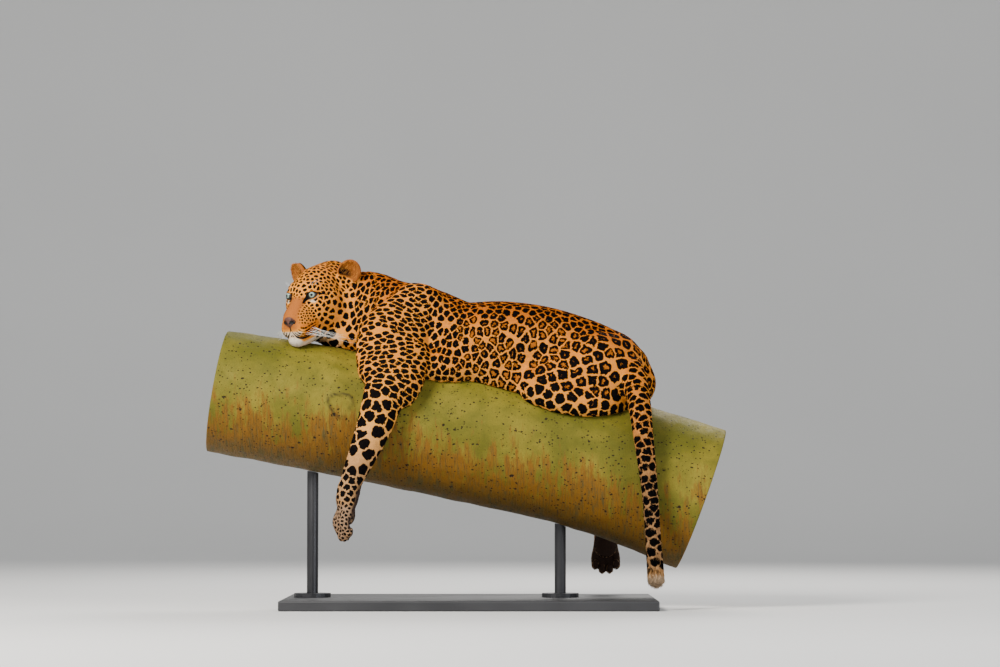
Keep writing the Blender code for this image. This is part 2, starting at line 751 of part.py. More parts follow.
def ear_egg(hand, grow=0.0):
    """An egg a little larger than an ear, cut flat across the ear's root."""
    radii = [r + EAR_MARGIN + grow for r in EAR_RADII]
    place = ear_place(hand)
    local = Matrix.Translation((0.0, 0.0, EAR_MIDDLE)) @ Matrix.Diagonal((*radii, 1.0))
    egg = bmesh_made(
        "egg", bmesh.ops.create_uvsphere, u_segments=24, v_segments=14, radius=1.0, matrix=place @ local
    )
    below = box_mesh((-0.1, -0.1, -0.1), (0.1, 0.1, EAR_ROOT - grow), place)
    return boolean(egg, below, "DIFFERENCE")


def facing(point, direction):
    """A place whose first axis points this way."""
    return Matrix.Translation(point) @ Vector(direction).to_track_quat("X", "Z").to_matrix().to_4x4()


# Boxes that hold the skin of the head and of the rest
HEAD_BOX = (-0.61, -0.23, 0.72), (-0.235, 0.16, 1.06)
BODY_BOX = (-0.52, -0.36, 0.06), (0.64, 0.36, 1.06)
# The head is what lies in a box in front of a cut across the neck, and the neck is in front of another
NECK_CUT = facing((-0.362, 0.062, 0.90), (-0.84, -0.45, 0.30))
CHEST_CUT = facing((-0.285, 0.0, 0.86), (-0.96, 0.0, 0.28))
CUT_BOX = (0.0, -0.25, -0.2), (0.5, 0.15, 0.25)
EAR_MARGIN, EAR_ROOT = 0.004, 0.010  # how far an ear's cut goes round it, and its height over the foot
# Boxes that part the body, in order: name, low corner, high corner
BODY_CUTS = (
    ("tail_end", (0.455, -0.36, 0.06), (0.66, -0.10, 0.27)),
    ("tail_middle", (0.455, -0.36, 0.27), (0.66, -0.10, 0.47)),
    ("tail_base", (0.457, -0.36, 0.47), (0.66, -0.088, 0.655)),
    ("forearm_left", (-0.46, -0.36, 0.372), (-0.12, -0.10, 0.628)),
    ("upper_arm_left", (-0.40, -0.36, 0.628), (-0.105, -0.095, 0.97)),
    ("forearm_right", (-0.455, 0.16, 0.50), (-0.258, 0.36, 0.745)),
    ("upper_arm_right", (-0.345, 0.105, 0.50), (-0.10, 0.36, 0.97)),
    ("shank_left", (0.10, -0.36, 0.45), (0.56, -0.085, 0.632)),
    ("thigh_left", (0.175, -0.36, 0.632), (0.56, -0.088, 0.90)),
    ("shank_right", (0.20, 0.15, 0.345), (0.52, 0.36, 0.545)),
    ("thigh_right", (0.22, 0.10, 0.40), (0.60, 0.36, 0.90)),
)
# Paws are meshed finer: the box that holds each one's skin, and its cut from the leg
PAW_CUTS = {
    "paw_left_fore": ((-0.46, -0.36, 0.16), (-0.26, -0.14, 0.372)),
    "paw_right_fore": ((-0.66, 0.12, 0.56), (-0.455, 0.30, 0.78)),
    "foot_right_hind": ((0.32, 0.17, 0.06), (0.51, 0.34, 0.345)),
}
TUCKED_FOOT = (0.0, -0.05, -0.05), (0.14, 0.05, 0.024)  # in the left hind paw's own axes


def flesh(parts, material):
    """The leopard's own nodes but for its eyes."""
    head = skin(*HEAD_BOX, HEAD_STEP, HEAD_TRIANGLES, 2)
    head, _ = part_off(head, *CUT_BOX, NECK_CUT)
    for hand in (LEFT, RIGHT):
        eye = HEAD_PLACE @ Vector((0.0, hand * EYE_SPREAD, 0.0))
        head = boolean(head, ball_mesh(eye, EYE_RADIUS + GAP), "DIFFERENCE")
    for hand, side in ((1, "left"), (-1, "right")):
        ear, head = split(head, ear_egg(hand), ear_egg(hand, GAP))
        node("ear_" + side, ear, material, parts)
    node("head", head, material, parts)

    rest = skin(*BODY_BOX, BODY_STEP, BODY_TRIANGLES, 4)
    _, rest = part_off(rest, *CUT_BOX, NECK_CUT)
    for name, (low, high) in PAW_CUTS.items():
        grown = [v - 0.02 for v in low], [v + 0.02 for v in high]
        paw, _ = part_off(skin(*grown, PAW_STEP, PAW_TRIANGLES, 2), low, high)
        node(name, paw, material, parts)
        _, rest = part_off(rest, low, high)
    tucked = PAWS["foot_left_hind"]
    wide = skin(*around(tucked @ Vector((0.06, 0, 0)), 0.12), PAW_STEP, 2 * PAW_TRIANGLES, 2)
    node("foot_left_hind", part_off(wide, *TUCKED_FOOT, tucked)[0], material, parts)
    _, rest = part_off(rest, *TUCKED_FOOT, tucked)
    for name, low, high in BODY_CUTS:
        piece, rest = part_off(rest, low, high)
        node(name, piece, material, parts)
    neck, rest = part_off(rest, *CUT_BOX, CHEST_CUT)
    node("neck", neck, material, parts)
    node("torso", rest, material, parts)


def stand(parts, steel, paint):
    """A flat base, and two rods on flanges that carry the branch from below."""
    x, y = BASE_CENTRE
    low = (x - BASE_LENGTH / 2, y - BASE_WIDTH / 2, 0.0)
    high = (x + BASE_LENGTH / 2, y + BASE_WIDTH / 2, BASE_THICKNESS)
    base = with_modifiers(box_mesh(low, high), [("BEVEL", {"width": 0.004, "segments": 2})])
    node("stand_base", base, paint, parts)
    for end, at in ROD_AT_X.items():
        foot = (at, 0.0, BASE_THICKNESS + GAP)
        flange = cylinder_mesh(foot, FLANGE_RADIUS, FLANGE_THICKNESS)
        core = (at, 0.0, BASE_THICKNESS + FLANGE_THICKNESS / 2)
        rod = boolean(cylinder_mesh(core, ROD_RADIUS, 0.5, 20), branch_mesh(GAP), "DIFFERENCE")
        node("stand_rod_" + end, boolean(flange, largest_shell(rod), "UNION"), steel, parts)


def main():
    clear_scene()
    parts = new_collection("leopard_on_branch")
    coat = finish("coat", (0.62, 0.34, 0.12), 0.85)
    eye = finish("eye", (0.55, 0.60, 0.48), 0.15)
    bark = finish("bark", (0.42, 0.38, 0.10), 0.8)
    steel = finish("stand_steel", (0.03, 0.03, 0.032), 0.5, 0.8)
    paint = finish("stand_paint", (0.10, 0.10, 0.11), 0.6)

    flesh(parts, coat)
    for hand, side in ((1, "left"), (-1, "right")):
        centre = HEAD_PLACE @ Vector((0.0, hand * EYE_SPREAD, 0.0))
        node("eye_" + side, ball_mesh(centre, EYE_RADIUS), eye, parts)
    node("perch", branch_mesh(), bark, parts)
    stand(parts, steel, paint)


if __name__ == "__main__":
    main()
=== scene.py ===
"""A life-size leopard lying astride a cut branch: coat, eyes, whiskers, bark and stand.

The animal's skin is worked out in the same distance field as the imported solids, a coat's depth
inside them. The coat's spots are cells around points spread over that skin, carried by the skin
and by the tufts alike, so both show the same markings.
"""

import functools
import math

import bmesh
import bpy
import numpy as np
from bpy.props import FloatProperty, FloatVectorProperty, IntProperty, PointerProperty
from mathutils import Matrix, Vector


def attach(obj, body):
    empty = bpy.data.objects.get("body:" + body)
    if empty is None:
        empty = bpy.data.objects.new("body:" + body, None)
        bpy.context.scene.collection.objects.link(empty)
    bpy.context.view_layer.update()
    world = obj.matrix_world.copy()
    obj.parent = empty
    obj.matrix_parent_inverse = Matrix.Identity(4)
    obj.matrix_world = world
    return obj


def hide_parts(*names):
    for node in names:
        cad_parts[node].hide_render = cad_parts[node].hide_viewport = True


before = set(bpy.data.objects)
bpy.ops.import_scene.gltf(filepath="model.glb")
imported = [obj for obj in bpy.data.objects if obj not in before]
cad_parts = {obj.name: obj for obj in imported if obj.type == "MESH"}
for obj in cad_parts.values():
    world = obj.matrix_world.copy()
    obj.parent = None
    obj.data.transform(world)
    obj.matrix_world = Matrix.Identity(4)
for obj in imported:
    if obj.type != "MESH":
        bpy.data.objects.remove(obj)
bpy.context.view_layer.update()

bl_info = {
    "name": "Leopard on a branch",
    "version": (1, 0, 0),
    "blender": (4, 5, 0),
    "location": "3D View > Sidebar > Leopard",
    "description": "Dresses the packed leopard with its coat, eyes, whiskers, branch and stand",
    "category": "Object",
}


def table(text, whole=1000):
    """Rows of numbers in metres from a text that parts the rows by commas. Whole is how many of the
    text's units make a metre."""
    return [[int(number) / whole for number in row.split()] for row in text.split(",")]


FAR = 1.0  # a distance beyond every form
SLAB = 24  # layers of a grid that are worked on at a time
ACROSS = (0.0, 1.0, 0.0)
LEFT, RIGHT = -1, 1  # along Y

# Branch: x and z of its middle line, and its radius there, in millimetres
BRANCH_LINE = table(
    "-755 646 184, -510 604 189, -200 546 193, 30 502 196, 306 446 203, 522 383 213, 690 322 221"
)

BODY_STEP, HEAD_STEP, PAW_STEP = 0.0071, 0.0027, 0.0033  # of the skin's grids

# Head: the point midway between the eyes, and how the head is turned
EYES_MIDDLE = (-0.500, -0.072, 0.9295)
HEAD_TURN = 57.0  # degrees from straight ahead towards the animal's left
HEAD_DROP = 10.0  # degrees
EYE_LOOK = 20.0  # degrees outwards from straight ahead
EYE_RADIUS = 0.0145
EYE_SPREAD = 0.0405  # from the middle plane to an eye's centre
LID_WIDE, LID_HIGH, LID_DROP = 0.0142, 0.0079, 0.0014  # the eye opening's half sizes and its drop
LID_RADIUS, LID_DEPTH = 0.0165, 0.0030  # the lids over the ball, and where their opening's floor is
LID_ARC = (LID_WIDE**2 + LID_HIGH**2) / (2 * LID_HIGH)  # radius of the lids' two arcs
EAR_RADII, EAR_MIDDLE = (0.020, 0.036, 0.042), 0.022  # half sizes, and the height of the middle


def between(rows, count):
    """Catmull-Rom curve through the rows, with count steps in each span."""
    rows = np.asarray(rows, float)
    padded = np.vstack([2 * rows[0] - rows[1], rows, 2 * rows[-1] - rows[-2]])
    out = []
    for a, b, c, d in zip(padded, padded[1:], padded[2:], padded[3:]):
        square, cube = 2 * a - 5 * b + 4 * c - d, 3 * b - a - 3 * c + d
        for t in np.arange(count) / count:
            out.append(0.5 * (2 * b + (c - a) * t + square * t**2 + cube * t**3))
    return np.array([*out, rows[-1]])


SQUARE = [(i, j) for i in (0, 1) for j in (0, 1)]
CORNERS = [(i, j, k) for i, j in SQUARE for k in (0, 1)]


def cell_corner(grid, i, j, k):
    """The values at one corner of every cell."""
    nx, ny, nz = (n - 1 for n in grid.shape)
    return grid[i : i + nx, j : j + ny, k : k + nz]


def face_corner(grid, axis, i, j):
    """The values at one corner of every cell face that is square to an axis."""
    shift = iter((i, j))
    ends = (slice(0, -1), slice(1, None))
    return grid[tuple(slice(None) if n == axis else ends[next(shift)] for n in range(3))]


class Field:
    """Signed distance on a grid, negative inside. Rounded forms are blended into it, and
    its zero surface is meshed with one point in each cell that the surface crosses."""

    def __init__(self, low, high, step):
        self.low, self.step = np.asarray(low, float), step
        self.shape = tuple(int(math.ceil((b - a) / step)) + 1 for a, b in zip(low, high))
        self.values = np.full(self.shape, FAR, np.float32)

    def window(self, low, high):
        """The slices of the grid that hold this box, and the points in them."""
        first = np.maximum(np.floor((np.asarray(low) - self.low) / self.step).astype(int), 0)
        last = np.ceil((np.asarray(high) - self.low) / self.step).astype(int) + 1
        last = np.minimum(last, self.shape)
        if (first >= last).any():
            return None, None
        axes = [self.low[k] + self.step * np.arange(first[k], last[k]) for k in range(3)]
        points = np.meshgrid(*(axis.astype(np.float32) for axis in axes), indexing="ij")
        return tuple(slice(a, b) for a, b in zip(first, last)), np.stack(points, -1)

    def blend(self, spot, distance, width):
        """Smooth union: where two distances differ by less than width, the surface is rounded."""
        old = self.values[spot]
        share = np.maximum(width - np.abs(old - distance), 0.0) / width
        self.values[spot] = np.minimum(old, distance) - share * share * width / 4

    def carve(self, spot, distance, width):
        """Smooth difference: the form is taken away."""
        old = self.values[spot]
        share = np.maximum(width - np.abs(old + distance), 0.0) / width
        self.values[spot] = np.maximum(old, -distance) + share * share * width / 4

    def form(self, low, high, distance, width, cut=False):
        """Adds or cuts the form whose distance at the points of a box this function gives."""
        spot, points = self.window(low, high)
        if spot is not None:
            (self.carve if cut else self.blend)(spot, distance(points), width)

    def oval(self, centre, radii, axes=None, width=0.02, cut=False):
        """An ellipsoid whose own axes are the columns of axes."""
        axes = np.eye(3) if axes is None else np.asarray(axes)
        radii = np.asarray(radii, float)
        centre = np.asarray(centre)
        reach = np.abs(axes) @ radii + width + 3 * self.step
        distance = lambda points: oval_distance((points - centre) @ axes, radii)
        self.form(centre - reach, centre + reach, distance, width, cut)

    def limb(self, stations, side, width=0.02, steps=4, cut=False):
        """A tube of oval sections. Each station is x, y, z, half width along side, half depth."""
        rows = between(stations, steps).astype(np.float32)
        margin = width + 3 * self.step
        reach = rows[:, 3:].max(1)[:, None] + margin
        spot, points = self.window((rows[:, :3] - reach).min(0), (rows[:, :3] + reach).max(0))
        if spot is None:
            return
        nearest = np.full(points.shape[:3], FAR, np.float32)
        local, radii = np.ones_like(points), np.full_like(points, 0.01)  # where no stretch is near
        for a, b in zip(rows[:-1], rows[1:]):
            grow = max(a[3:].max(), b[3:].max()) + margin
            first = np.floor((np.minimum(a, b)[:3] - grow - points[0, 0, 0]) / self.step).astype(int)
            last = np.ceil((np.maximum(a, b)[:3] + grow - points[0, 0, 0]) / self.step).astype(int) + 1
            part = tuple(slice(max(p, 0), max(p, q, 0)) for p, q in zip(first, last))
            gap, place, size = section(points[part], a, b, np.asarray(side, np.float32))
            closer = gap < nearest[part]
            nearest[part] = np.where(closer, gap, nearest[part])
            local[part] = np.where(closer[..., None], place, local[part])
            radii[part] = np.where(closer[..., None], size, radii[part])
        (self.carve if cut else self.blend)(spot, oval_distance(local, radii), width)

    def close(self):
        """Ends the form at the grid's edge, and fills cells where its surface would touch itself."""
        edge = np.ones(self.shape, bool)
        edge[1:-1, 1:-1, 1:-1] = False
        self.values[edge] = np.maximum(self.values[edge], 0.1 * self.step)
        for _ in range(12):  # filling can make new such cells
            inside = self.values < 0
            fill = np.zeros(self.shape, bool)
            for axis in range(3):
                a, b, c, d = (face_corner(inside, axis, *corner) for corner in SQUARE)
                crossed = (a == d) & (b == c) & (a != b)
                for corner in SQUARE:
                    face_corner(fill, axis, *corner)[...] |= crossed
            count = sum(cell_corner(inside, *corner).astype(np.int8) for corner in CORNERS)
            for corner in CORNERS[:4]:
                a, b = cell_corner(inside, *corner), cell_corner(inside, *(1 - v for v in corner))
                lone = ((count == 2) & a & b) | ((count == 6) & ~a & ~b)
                for other in CORNERS:
                    cell_corner(fill, *other)[...] |= lone
            fill &= ~inside & ~edge
            if not fill.any():
                break
            self.values[fill] = -0.05 * self.step

    def surface(self):
        """Surface nets: a point for each crossed cell, and a quad for each crossed grid edge."""
        value = self.values
        inside = value < 0
        count = sum(cell_corner(inside, *corner).astype(np.int8) for corner in CORNERS)
        cells = np.argwhere((count > 0) & (count < 8))
        number = np.full(count.shape, -1, np.int32)
        number[tuple(cells.T)] = np.arange(len(cells))
        total, crossings = np.zeros((len(cells), 3)), np.zeros(len(cells))
        for a in CORNERS:
            for axis in range(3):
                if a[axis]:
                    continue
                b = tuple(v + (n == axis) for n, v in enumerate(a))
                va, vb = (value[tuple((cells + c).T)].astype(float) for c in (a, b))
                crossed = (va < 0) != (vb < 0)
                share = np.where(crossed, va / np.where(crossed, va - vb, 1.0), 0.0)
                place = np.asarray(a, float) + share[:, None] * (np.arange(3) == axis)
                total += place * crossed[:, None]
                crossings += crossed
        points = self.low + (cells + total / crossings[:, None]) * self.step
        quads = []
        for axis in range(3):
            u, v = (axis + 1) % 3, (axis + 2) % 3
            first = inside[tuple(slice(0, -1) if n == axis else slice(None) for n in range(3))]
            second = inside[tuple(slice(1, None) if n == axis else slice(None) for n in range(3))]
            edges = np.argwhere(first != second)
            edges = edges[(edges[:, u] > 0) & (edges[:, v] > 0)]
            edges = edges[(edges[:, u] < self.shape[u] - 1) & (edges[:, v] < self.shape[v] - 1)]
            ring = []
            for du, dv in ((1, 1), (0, 1), (0, 0), (1, 0)):
                cell = edges.copy()
                cell[:, u] -= du
                cell[:, v] -= dv
                ring.append(number[tuple(cell.T)])
            ring = np.stack(ring, 1)
            leaving = first[tuple(edges.T)]
            quads.append(np.where(leaving[:, None], ring, ring[:, ::-1]))
        return points, np.concatenate(quads)

    def sink(self, depth):
        """Moves the surface inwards by the depth that a function gives at each point."""
        for first in range(0, self.shape[0], SLAB):
            last = min(first + SLAB, self.shape[0])
            x = self.low[0] + self.step * np.arange(first, last)
            y, z = (self.low[k] + self.step * np.arange(self.shape[k]) for k in (1, 2))
            points = np.stack(np.meshgrid(x, y, z, indexing="ij"), -1).astype(np.float32)
            self.values[first:last] += depth(points)

    def read(self, points):
        """The distance and its slope at points, between the eight nearest values of the grid."""
        at = (points - self.low) / self.step
        base = np.clip(np.floor(at).astype(int), 0, np.asarray(self.shape) - 2)
        share = np.clip(at - base, 0.0, 1.0)
        value, slope = np.zeros(len(points)), np.zeros((len(points), 3))
        for corner in CORNERS:
            here = self.values[tuple((base + corner).T)]
            side = np.where(corner, share, 1.0 - share)
            value += here * side.prod(1)
            for axis in range(3):
                others = side[:, [k for k in range(3) if k != axis]].prod(1)
                slope[:, axis] += here * others * (1.0 if corner[axis] else -1.0)
        return value, slope / self.step


def oval_distance(local, radii):
    """Distance to an ellipsoid at the origin, exact on its surface."""
    share = local / radii
    near = np.maximum(np.linalg.norm(share, axis=-1), 1e-6)
    slope = np.maximum(np.linalg.norm(share / radii, axis=-1), 1e-6 / np.max(radii, initial=0.01))
    return (near * (near - 1.0) / slope).astype(np.float32)


def section(points, a, b, side):
    """For the stretch of tube between two stations: how far its middle line is, squared,
    the place across, deep and beyond its end from there, and the radii there."""
    line = b[:3] - a[:3]
    length = np.linalg.norm(line)
    along = line / length
    across = side - along * (along @ side)
    across /= np.linalg.norm(across)
    offset = points - a[:3]
    share = np.clip(offset @ along / length, 0.0, 1.0)
    offset = offset - share[..., None] * line
    wide = a[3] + share * (b[3] - a[3])
    high = a[4] + share * (b[4] - a[4])
    local = np.stack([offset @ across, offset @ np.cross(along, across), offset @ along], -1)
    return (offset**2).sum(-1), local, np.stack([wide, high, np.minimum(wide, high)], -1)


def mesh_of(name, points, faces, smooth=True):
    """A mesh of faces with the same number of corners."""
    mesh = bpy.data.meshes.new(name)
    size = faces.shape[1]
    mesh.vertices.add(len(points))
    mesh.vertices.foreach_set("co", np.asarray(points, np.float32).ravel())
    mesh.loops.add(faces.size)
    mesh.loops.foreach_set("vertex_index", faces.astype(np.int32).ravel())
    mesh.polygons.add(len(faces))
    mesh.polygons.foreach_set("loop_start", np.arange(0, faces.size, size, dtype=np.int32))
    mesh.polygons.foreach_set("use_smooth", np.full(len(faces), smooth))
    mesh.update(calc_edges=True)
    return mesh


def head_axes():
    """Where the head's own axes point: forward, left and up are its columns."""
    turn, drop = math.radians(HEAD_TURN), math.radians(HEAD_DROP)
    level = Vector((-math.cos(turn), -math.sin(turn), 0.0))
    left = Vector((math.sin(turn), -math.cos(turn), 0.0))
    forward = (level * math.cos(drop) - Vector((0, 0, 1)) * math.sin(drop)).normalized()
    return Matrix((forward, left, forward.cross(left))).transposed()


HEAD_PLACE = Matrix.Translation(EYES_MIDDLE) @ head_axes().to_4x4()


TENTHS = 10000  # tenths of a millimetre in a metre


class Placed:
    """Adds forms to a field in the axes of a place: a head's or a paw's own."""

    def __init__(self, field, place):
        self.field, self.place = field, place
        self.axes = np.array(place.to_3x3())

    def at(self, *point):
        """A point of the place's own axes in the field's."""
        return tuple(self.place @ Vector(point))

    def oval(self, point, radii, width=0.02, cut=False):
        """An ellipsoid in the place's axes."""
        self.field.oval(self.at(*point), radii, self.axes, width, cut)

    def limb(self, stations, width=0.02, cut=False):
        """A tube of oval sections in the place's axes, with half widths along the second of them."""
        rows = [(*self.at(*row[:3]), *row[3:]) for row in stations]
        self.field.limb(rows, self.axes[:, 1], width, 4, cut)

    def add(self, width, text, hand=1, cut=False):
        """Adds one row of a table as an oval (place and half sizes), or more as a limb's stations.
        All numbers are tenths of a millimetre, and places are mirrored for the other hand."""
        rows = [(u, hand * v, *rest) for u, v, *rest in table(text, TENTHS)]
        if len(rows) == 1:
            self.oval(rows[0][:3], rows[0][3:], width / TENTHS, cut)
        else:
            self.limb(rows, width / TENTHS, cut)


# The head's forms: rounding, and rows of forward, left and up from between the eyes and half sizes
SKULL = (
    (200, "-920 0 70 900 690 730"),  # brain case
    (300, "-1600 0 140 800 620 740"),  # nape
    (300, "-340 0 0 500 500 460"),  # forehead
    (300, "-320 0 -640 680 540 540"),  # face below the eyes
    (200, "-400 0 -80 340 360, 0 0 -220 290 330, 340 0 -450 240 280, 600 0 -640 210 180"),  # bridge
    (300, "120 0 -880 560 420 380"),  # upper jaw
    # lower jaw
    (200, "-900 0 -950 520 340, -200 0 -1160 420 270, 220 0 -1270 340 230, 460 0 -1280 280 225"),
)
CHEEKS = (  # on each side
    (300, "-660 430 -420 640 420 600"),  # cheek
    (400, "-1080 420 -740 580 480 560"),  # jowl
    (300, "120 210 -660 460 240 300"),  # side of the muzzle
    (300, "-100 480 -280 90 90, -550 680 -240 130 150"),  # cheekbone
    (240, "-20 220 190 90 90, -100 400 210 90 90, -300 490 120 90 90"),  # brow
    (140, "440 210 -960 310 250 270"),  # whisker pad
)
NOSE_PAD = 60, "660 0 -710 170 215 170"
# Cut into the head: a nostril and half of the mouth's line, and the groove below the nose
NOSTRIL_HOLE = 30, "850 60 -750 30 35, 780 125 -720 35 40, 680 190 -690 20 20"
MOUTH_LINE = 30, "780 10 -1100 16 30, 680 180 -1200 16 35, 430 360 -1230 16 35, 100 450 -1140 16 30"
GROOVE = 30, "840 0 -840 10 20, 790 0 -1090 12 30"


def head_forms(field):
    """Skull, face, jaws and their flesh."""
    head = Placed(field, HEAD_PLACE)
    for form in SKULL:
        head.add(*form)
    for hand in (-1, 1):
        for form in CHEEKS:
            head.add(*form, hand)
    head.add(*NOSE_PAD)


def head_details(field):
    """Lids with their openings, nostrils, the line of the mouth and the groove below the nose."""
    head = Placed(field, HEAD_PLACE)
    for hand in (-1, 1):
        head.oval((0.0, hand * EYE_SPREAD, 0.0), (LID_RADIUS,) * 3, 0.008)
        eye_opening(field, hand)
        head.add(*NOSTRIL_HOLE, hand, True)
        head.add(*MOUTH_LINE, hand, True)
    head.add(*GROOVE, 1, True)


def eye_axis(hand):
    """Where an eye looks, in the head's axes."""
    turn = math.radians(EYE_LOOK)
    return Vector((math.cos(turn), hand * math.sin(turn), 0.06)).normalized()


def eye_axes(hand, axes=np.eye(3)):
    """The ways across, up and out of an eye's opening. Its outer corner sits higher."""
    look = axes @ np.array(eye_axis(hand))
    slant = axes @ np.array((0.0, hand * 0.96, 0.20))
    across = slant - look * (look @ slant)
    across /= np.linalg.norm(across)
    return across, np.cross(look, across), look


def almond(across, above):
    """How far outside the opening between the lids a place is: two arcs meet at its corners."""
    below_middle = np.hypot(across, above + LID_ARC - LID_HIGH)
    over_middle = np.hypot(across, above - LID_ARC + LID_HIGH)
    return np.maximum(below_middle, over_middle) - LID_ARC


def eye_opening(field, hand):
    """Cuts the opening between the lids, in front of the ball and LID_DEPTH out from its middle."""
    head = Placed(field, HEAD_PLACE)
    centre = np.array(head.at(0.0, hand * EYE_SPREAD, 0.0))
    across, above, look = eye_axes(hand, head.axes)

    def distance(points):
        offset = points - centre
        opening = almond(offset @ across, offset @ above + LID_DROP)
        return np.maximum(opening, LID_DEPTH - offset @ look).astype(np.float32)

    field.form(centre - 0.03, centre + 0.03, distance, 0.002, True)


def ear_place(hand):
    """An ear's own axes, with its opening along the first and its tip along the third."""
    up = Vector((-0.10, hand * 0.52, 0.85)).normalized()
    front = Vector((0.86, hand * 0.42, 0.0))
    front = (front - up * front.dot(up)).normalized()
    foot = Vector((-0.120, hand * 0.080, 0.030))
    local = Matrix.Translation(foot) @ Matrix((front, up.cross(front), up)).transposed().to_4x4()
    return HEAD_PLACE @ local


def ear_forms(field):
    """Round cups on the sides of the skull: thick at the root and thin at the rim."""
    for hand in (LEFT, RIGHT):
        ear = Placed(field, ear_place(-hand))
        ear.oval((0.0, 0.0, EAR_MIDDLE), EAR_RADII, 0.012)
        ear.oval((0.0165, 0.0, 0.029), (0.0185, 0.031, 0.0345), 0.004, True)


# The body's limbs in millimetres: x, y, z, half width and half depth
NECK = table(
    "-425 35 893 75 85, -365 45 893 92 112, -310 40 885 100 126, -250 20 862 108 126, "
    "-180 8 845 115 118"
)
THROAT = table("-452 30 835 50 40, -400 30 822 75 56, -330 20 812 95 70")
TRUNK = table(
    "-240 15 840 85 105, -140 8 830 122 128, -30 2 784 142 134, 90 -2 775 150 143, "
    "200 -4 764 148 141, 300 -4 744 136 133, 390 0 718 118 122, 450 4 690 98 102, 486 8 664 72 78"
)
# Flank that lies over the branch, on the left; the right is its mirror image
FLANK = table(
    "-80 -80 722 55 55, 30 -80 714 55 60, 130 -87 678 56 62, 230 -92 650 56 62, 360 -90 636 55 60"
)
# Legs. The left foreleg hangs down the near side of the branch.
LEFT_FORELEG = table(
    "-160 -80 925 26 45, -195 -108 860 46 85, -228 -132 790 58 104, -226 -164 715 60 106, "
    "-232 -196 655 56 90, -252 -218 612 50 62, -279 -238 529 42 52, -316 -246 439 36 41, "
    "-341 -247 379 34 33, -354 -247 325 34 29"
)
RIGHT_FORELEG = table(
    "-160 85 915 26 45, -190 112 850 46 85, -215 140 785 56 96, -205 172 725 54 80, "
    "-200 205 675 46 58, -270 222 655 40 44, -355 222 665 35 38, -430 212 672 31 32, "
    "-480 204 680 31 28"
)
LEFT_THIGH = table(
    "445 -35 740 70 80, 400 -78 712 80 125, 325 -105 685 70 115, 245 -128 668 56 78, "
    "200 -138 655 46 58"
)
LEFT_SHANK = table(
    "195 -142 650 44 50, 270 -160 618 42 48, 360 -155 600 36 40, 430 -128 602 28 32, "
    "462 -100 612 22 26"
)
LEFT_HIND_FOOT = table("455 -85 625 24 24, 380 -20 650 26 22, 318 40 662 30 22")
RIGHT_THIGH = table(
    "468 40 722 70 78, 445 90 690 78 105, 395 145 640 68 100, 335 195 585 56 75, "
    "300 225 545 46 56"
)
RIGHT_SHANK = table(
    "300 228 545 44 52, 340 246 480 40 46, 390 256 410 30 33, 420 262 350 24 26, "
    "420 262 290 25 24, 414 262 225 30 24"
)
TAIL = table(
    "400 5 765 50 45, 445 -12 738 50 46, 470 -78 716 45 44, 489 -142 657 40 40, "
    "500 -194 590 36 36, 508 -228 510 32 32, 518 -245 420 29 29, 528 -248 320 26 26, "
    "535 -248 210 25 25, 540 -248 140 26 26, 543 -248 95 27 27"
)


def paw_place(wrist, toward, back):
    """A paw's own axes: its first towards the toes, its third out of the back of the foot."""
    toward = Vector(toward).normalized()
    back = (Vector(back) - toward * Vector(back).dot(toward)).normalized()
    return Matrix.Translation(wrist) @ Matrix((toward, back.cross(toward), back)).transposed().to_4x4()


PAWS = {
    "paw_left_fore": paw_place((-0.354, -0.247, 0.332), (-0.12, 0.0, -0.99), (-0.92, -0.38, 0.1)),
    "paw_right_fore": paw_place((-0.480, 0.204, 0.680), (-0.97, -0.10, 0.10), (0.0, 0.80, 0.55)),
    "foot_left_hind": paw_place((0.318, 0.040, 0.664), (-0.80, 0.58, -0.16), (0.0, 0.35, 0.93)),
    "foot_right_hind": paw_place((0.414, 0.260, 0.225), (0.01, -0.03, -0.99), (0.0, 1.0, 0.0)),
}
TOES = ((-0.031, 0.106), (-0.011, 0.119), (0.011, 0.119), (0.031, 0.106))  # place across, reach


def paw_forms(field, place):
    """Palm and its pad, and four toes with their knuckles and the pads under them."""
    paw = Placed(field, place)
    paw.add(200, "-150 0 0 310 260, 200 0 0 340 240, 560 0 0 380 210")
    paw.add(80, "560 0 -140 260 290 140")
    for across, reach in TOES:
        root = (0.045, across * 0.72, 0.004, 0.012, 0.015)
        knuckle = (0.078, across, 0.010, 0.0125, 0.0145)
        tip = (reach, across * 1.04, -0.003, 0.0115, 0.0125)
        paw.limb([root, knuckle, tip], 0.004)
        paw.oval((reach - 0.004, across * 1.04, -0.012), (0.013, 0.0085, 0.007), 0.003)


def trunk_forms(field):
    """Neck, trunk, legs and tail."""
    field.limb(NECK, ACROSS, 0.04)
    field.limb(THROAT, ACROSS, 0.03)
    field.limb(TRUNK, ACROSS, 0.04)
    for hand in (LEFT, RIGHT):
        field.limb([(x, -hand * y, z, wide, high) for x, y, z, wide, high in FLANK], ACROSS, 0.04)
    field.oval((-0.085, -0.118, 0.712), (0.095, 0.045, 0.050), width=0.03)  # skin behind the elbow
    field.oval((-0.155, -0.075, 0.905), (0.075, 0.045, 0.062), width=0.03)  # shoulder blades
    field.oval((-0.150, 0.080, 0.895), (0.075, 0.045, 0.062), width=0.03)
    for stations in (LEFT_FORELEG, RIGHT_FORELEG, LEFT_THIGH, LEFT_SHANK, RIGHT_THIGH, RIGHT_SHANK):
        field.limb(stations, ACROSS, 0.025)
    field.limb(LEFT_HIND_FOOT, ACROSS, 0.012)
    field.limb(TAIL, ACROSS, 0.015)


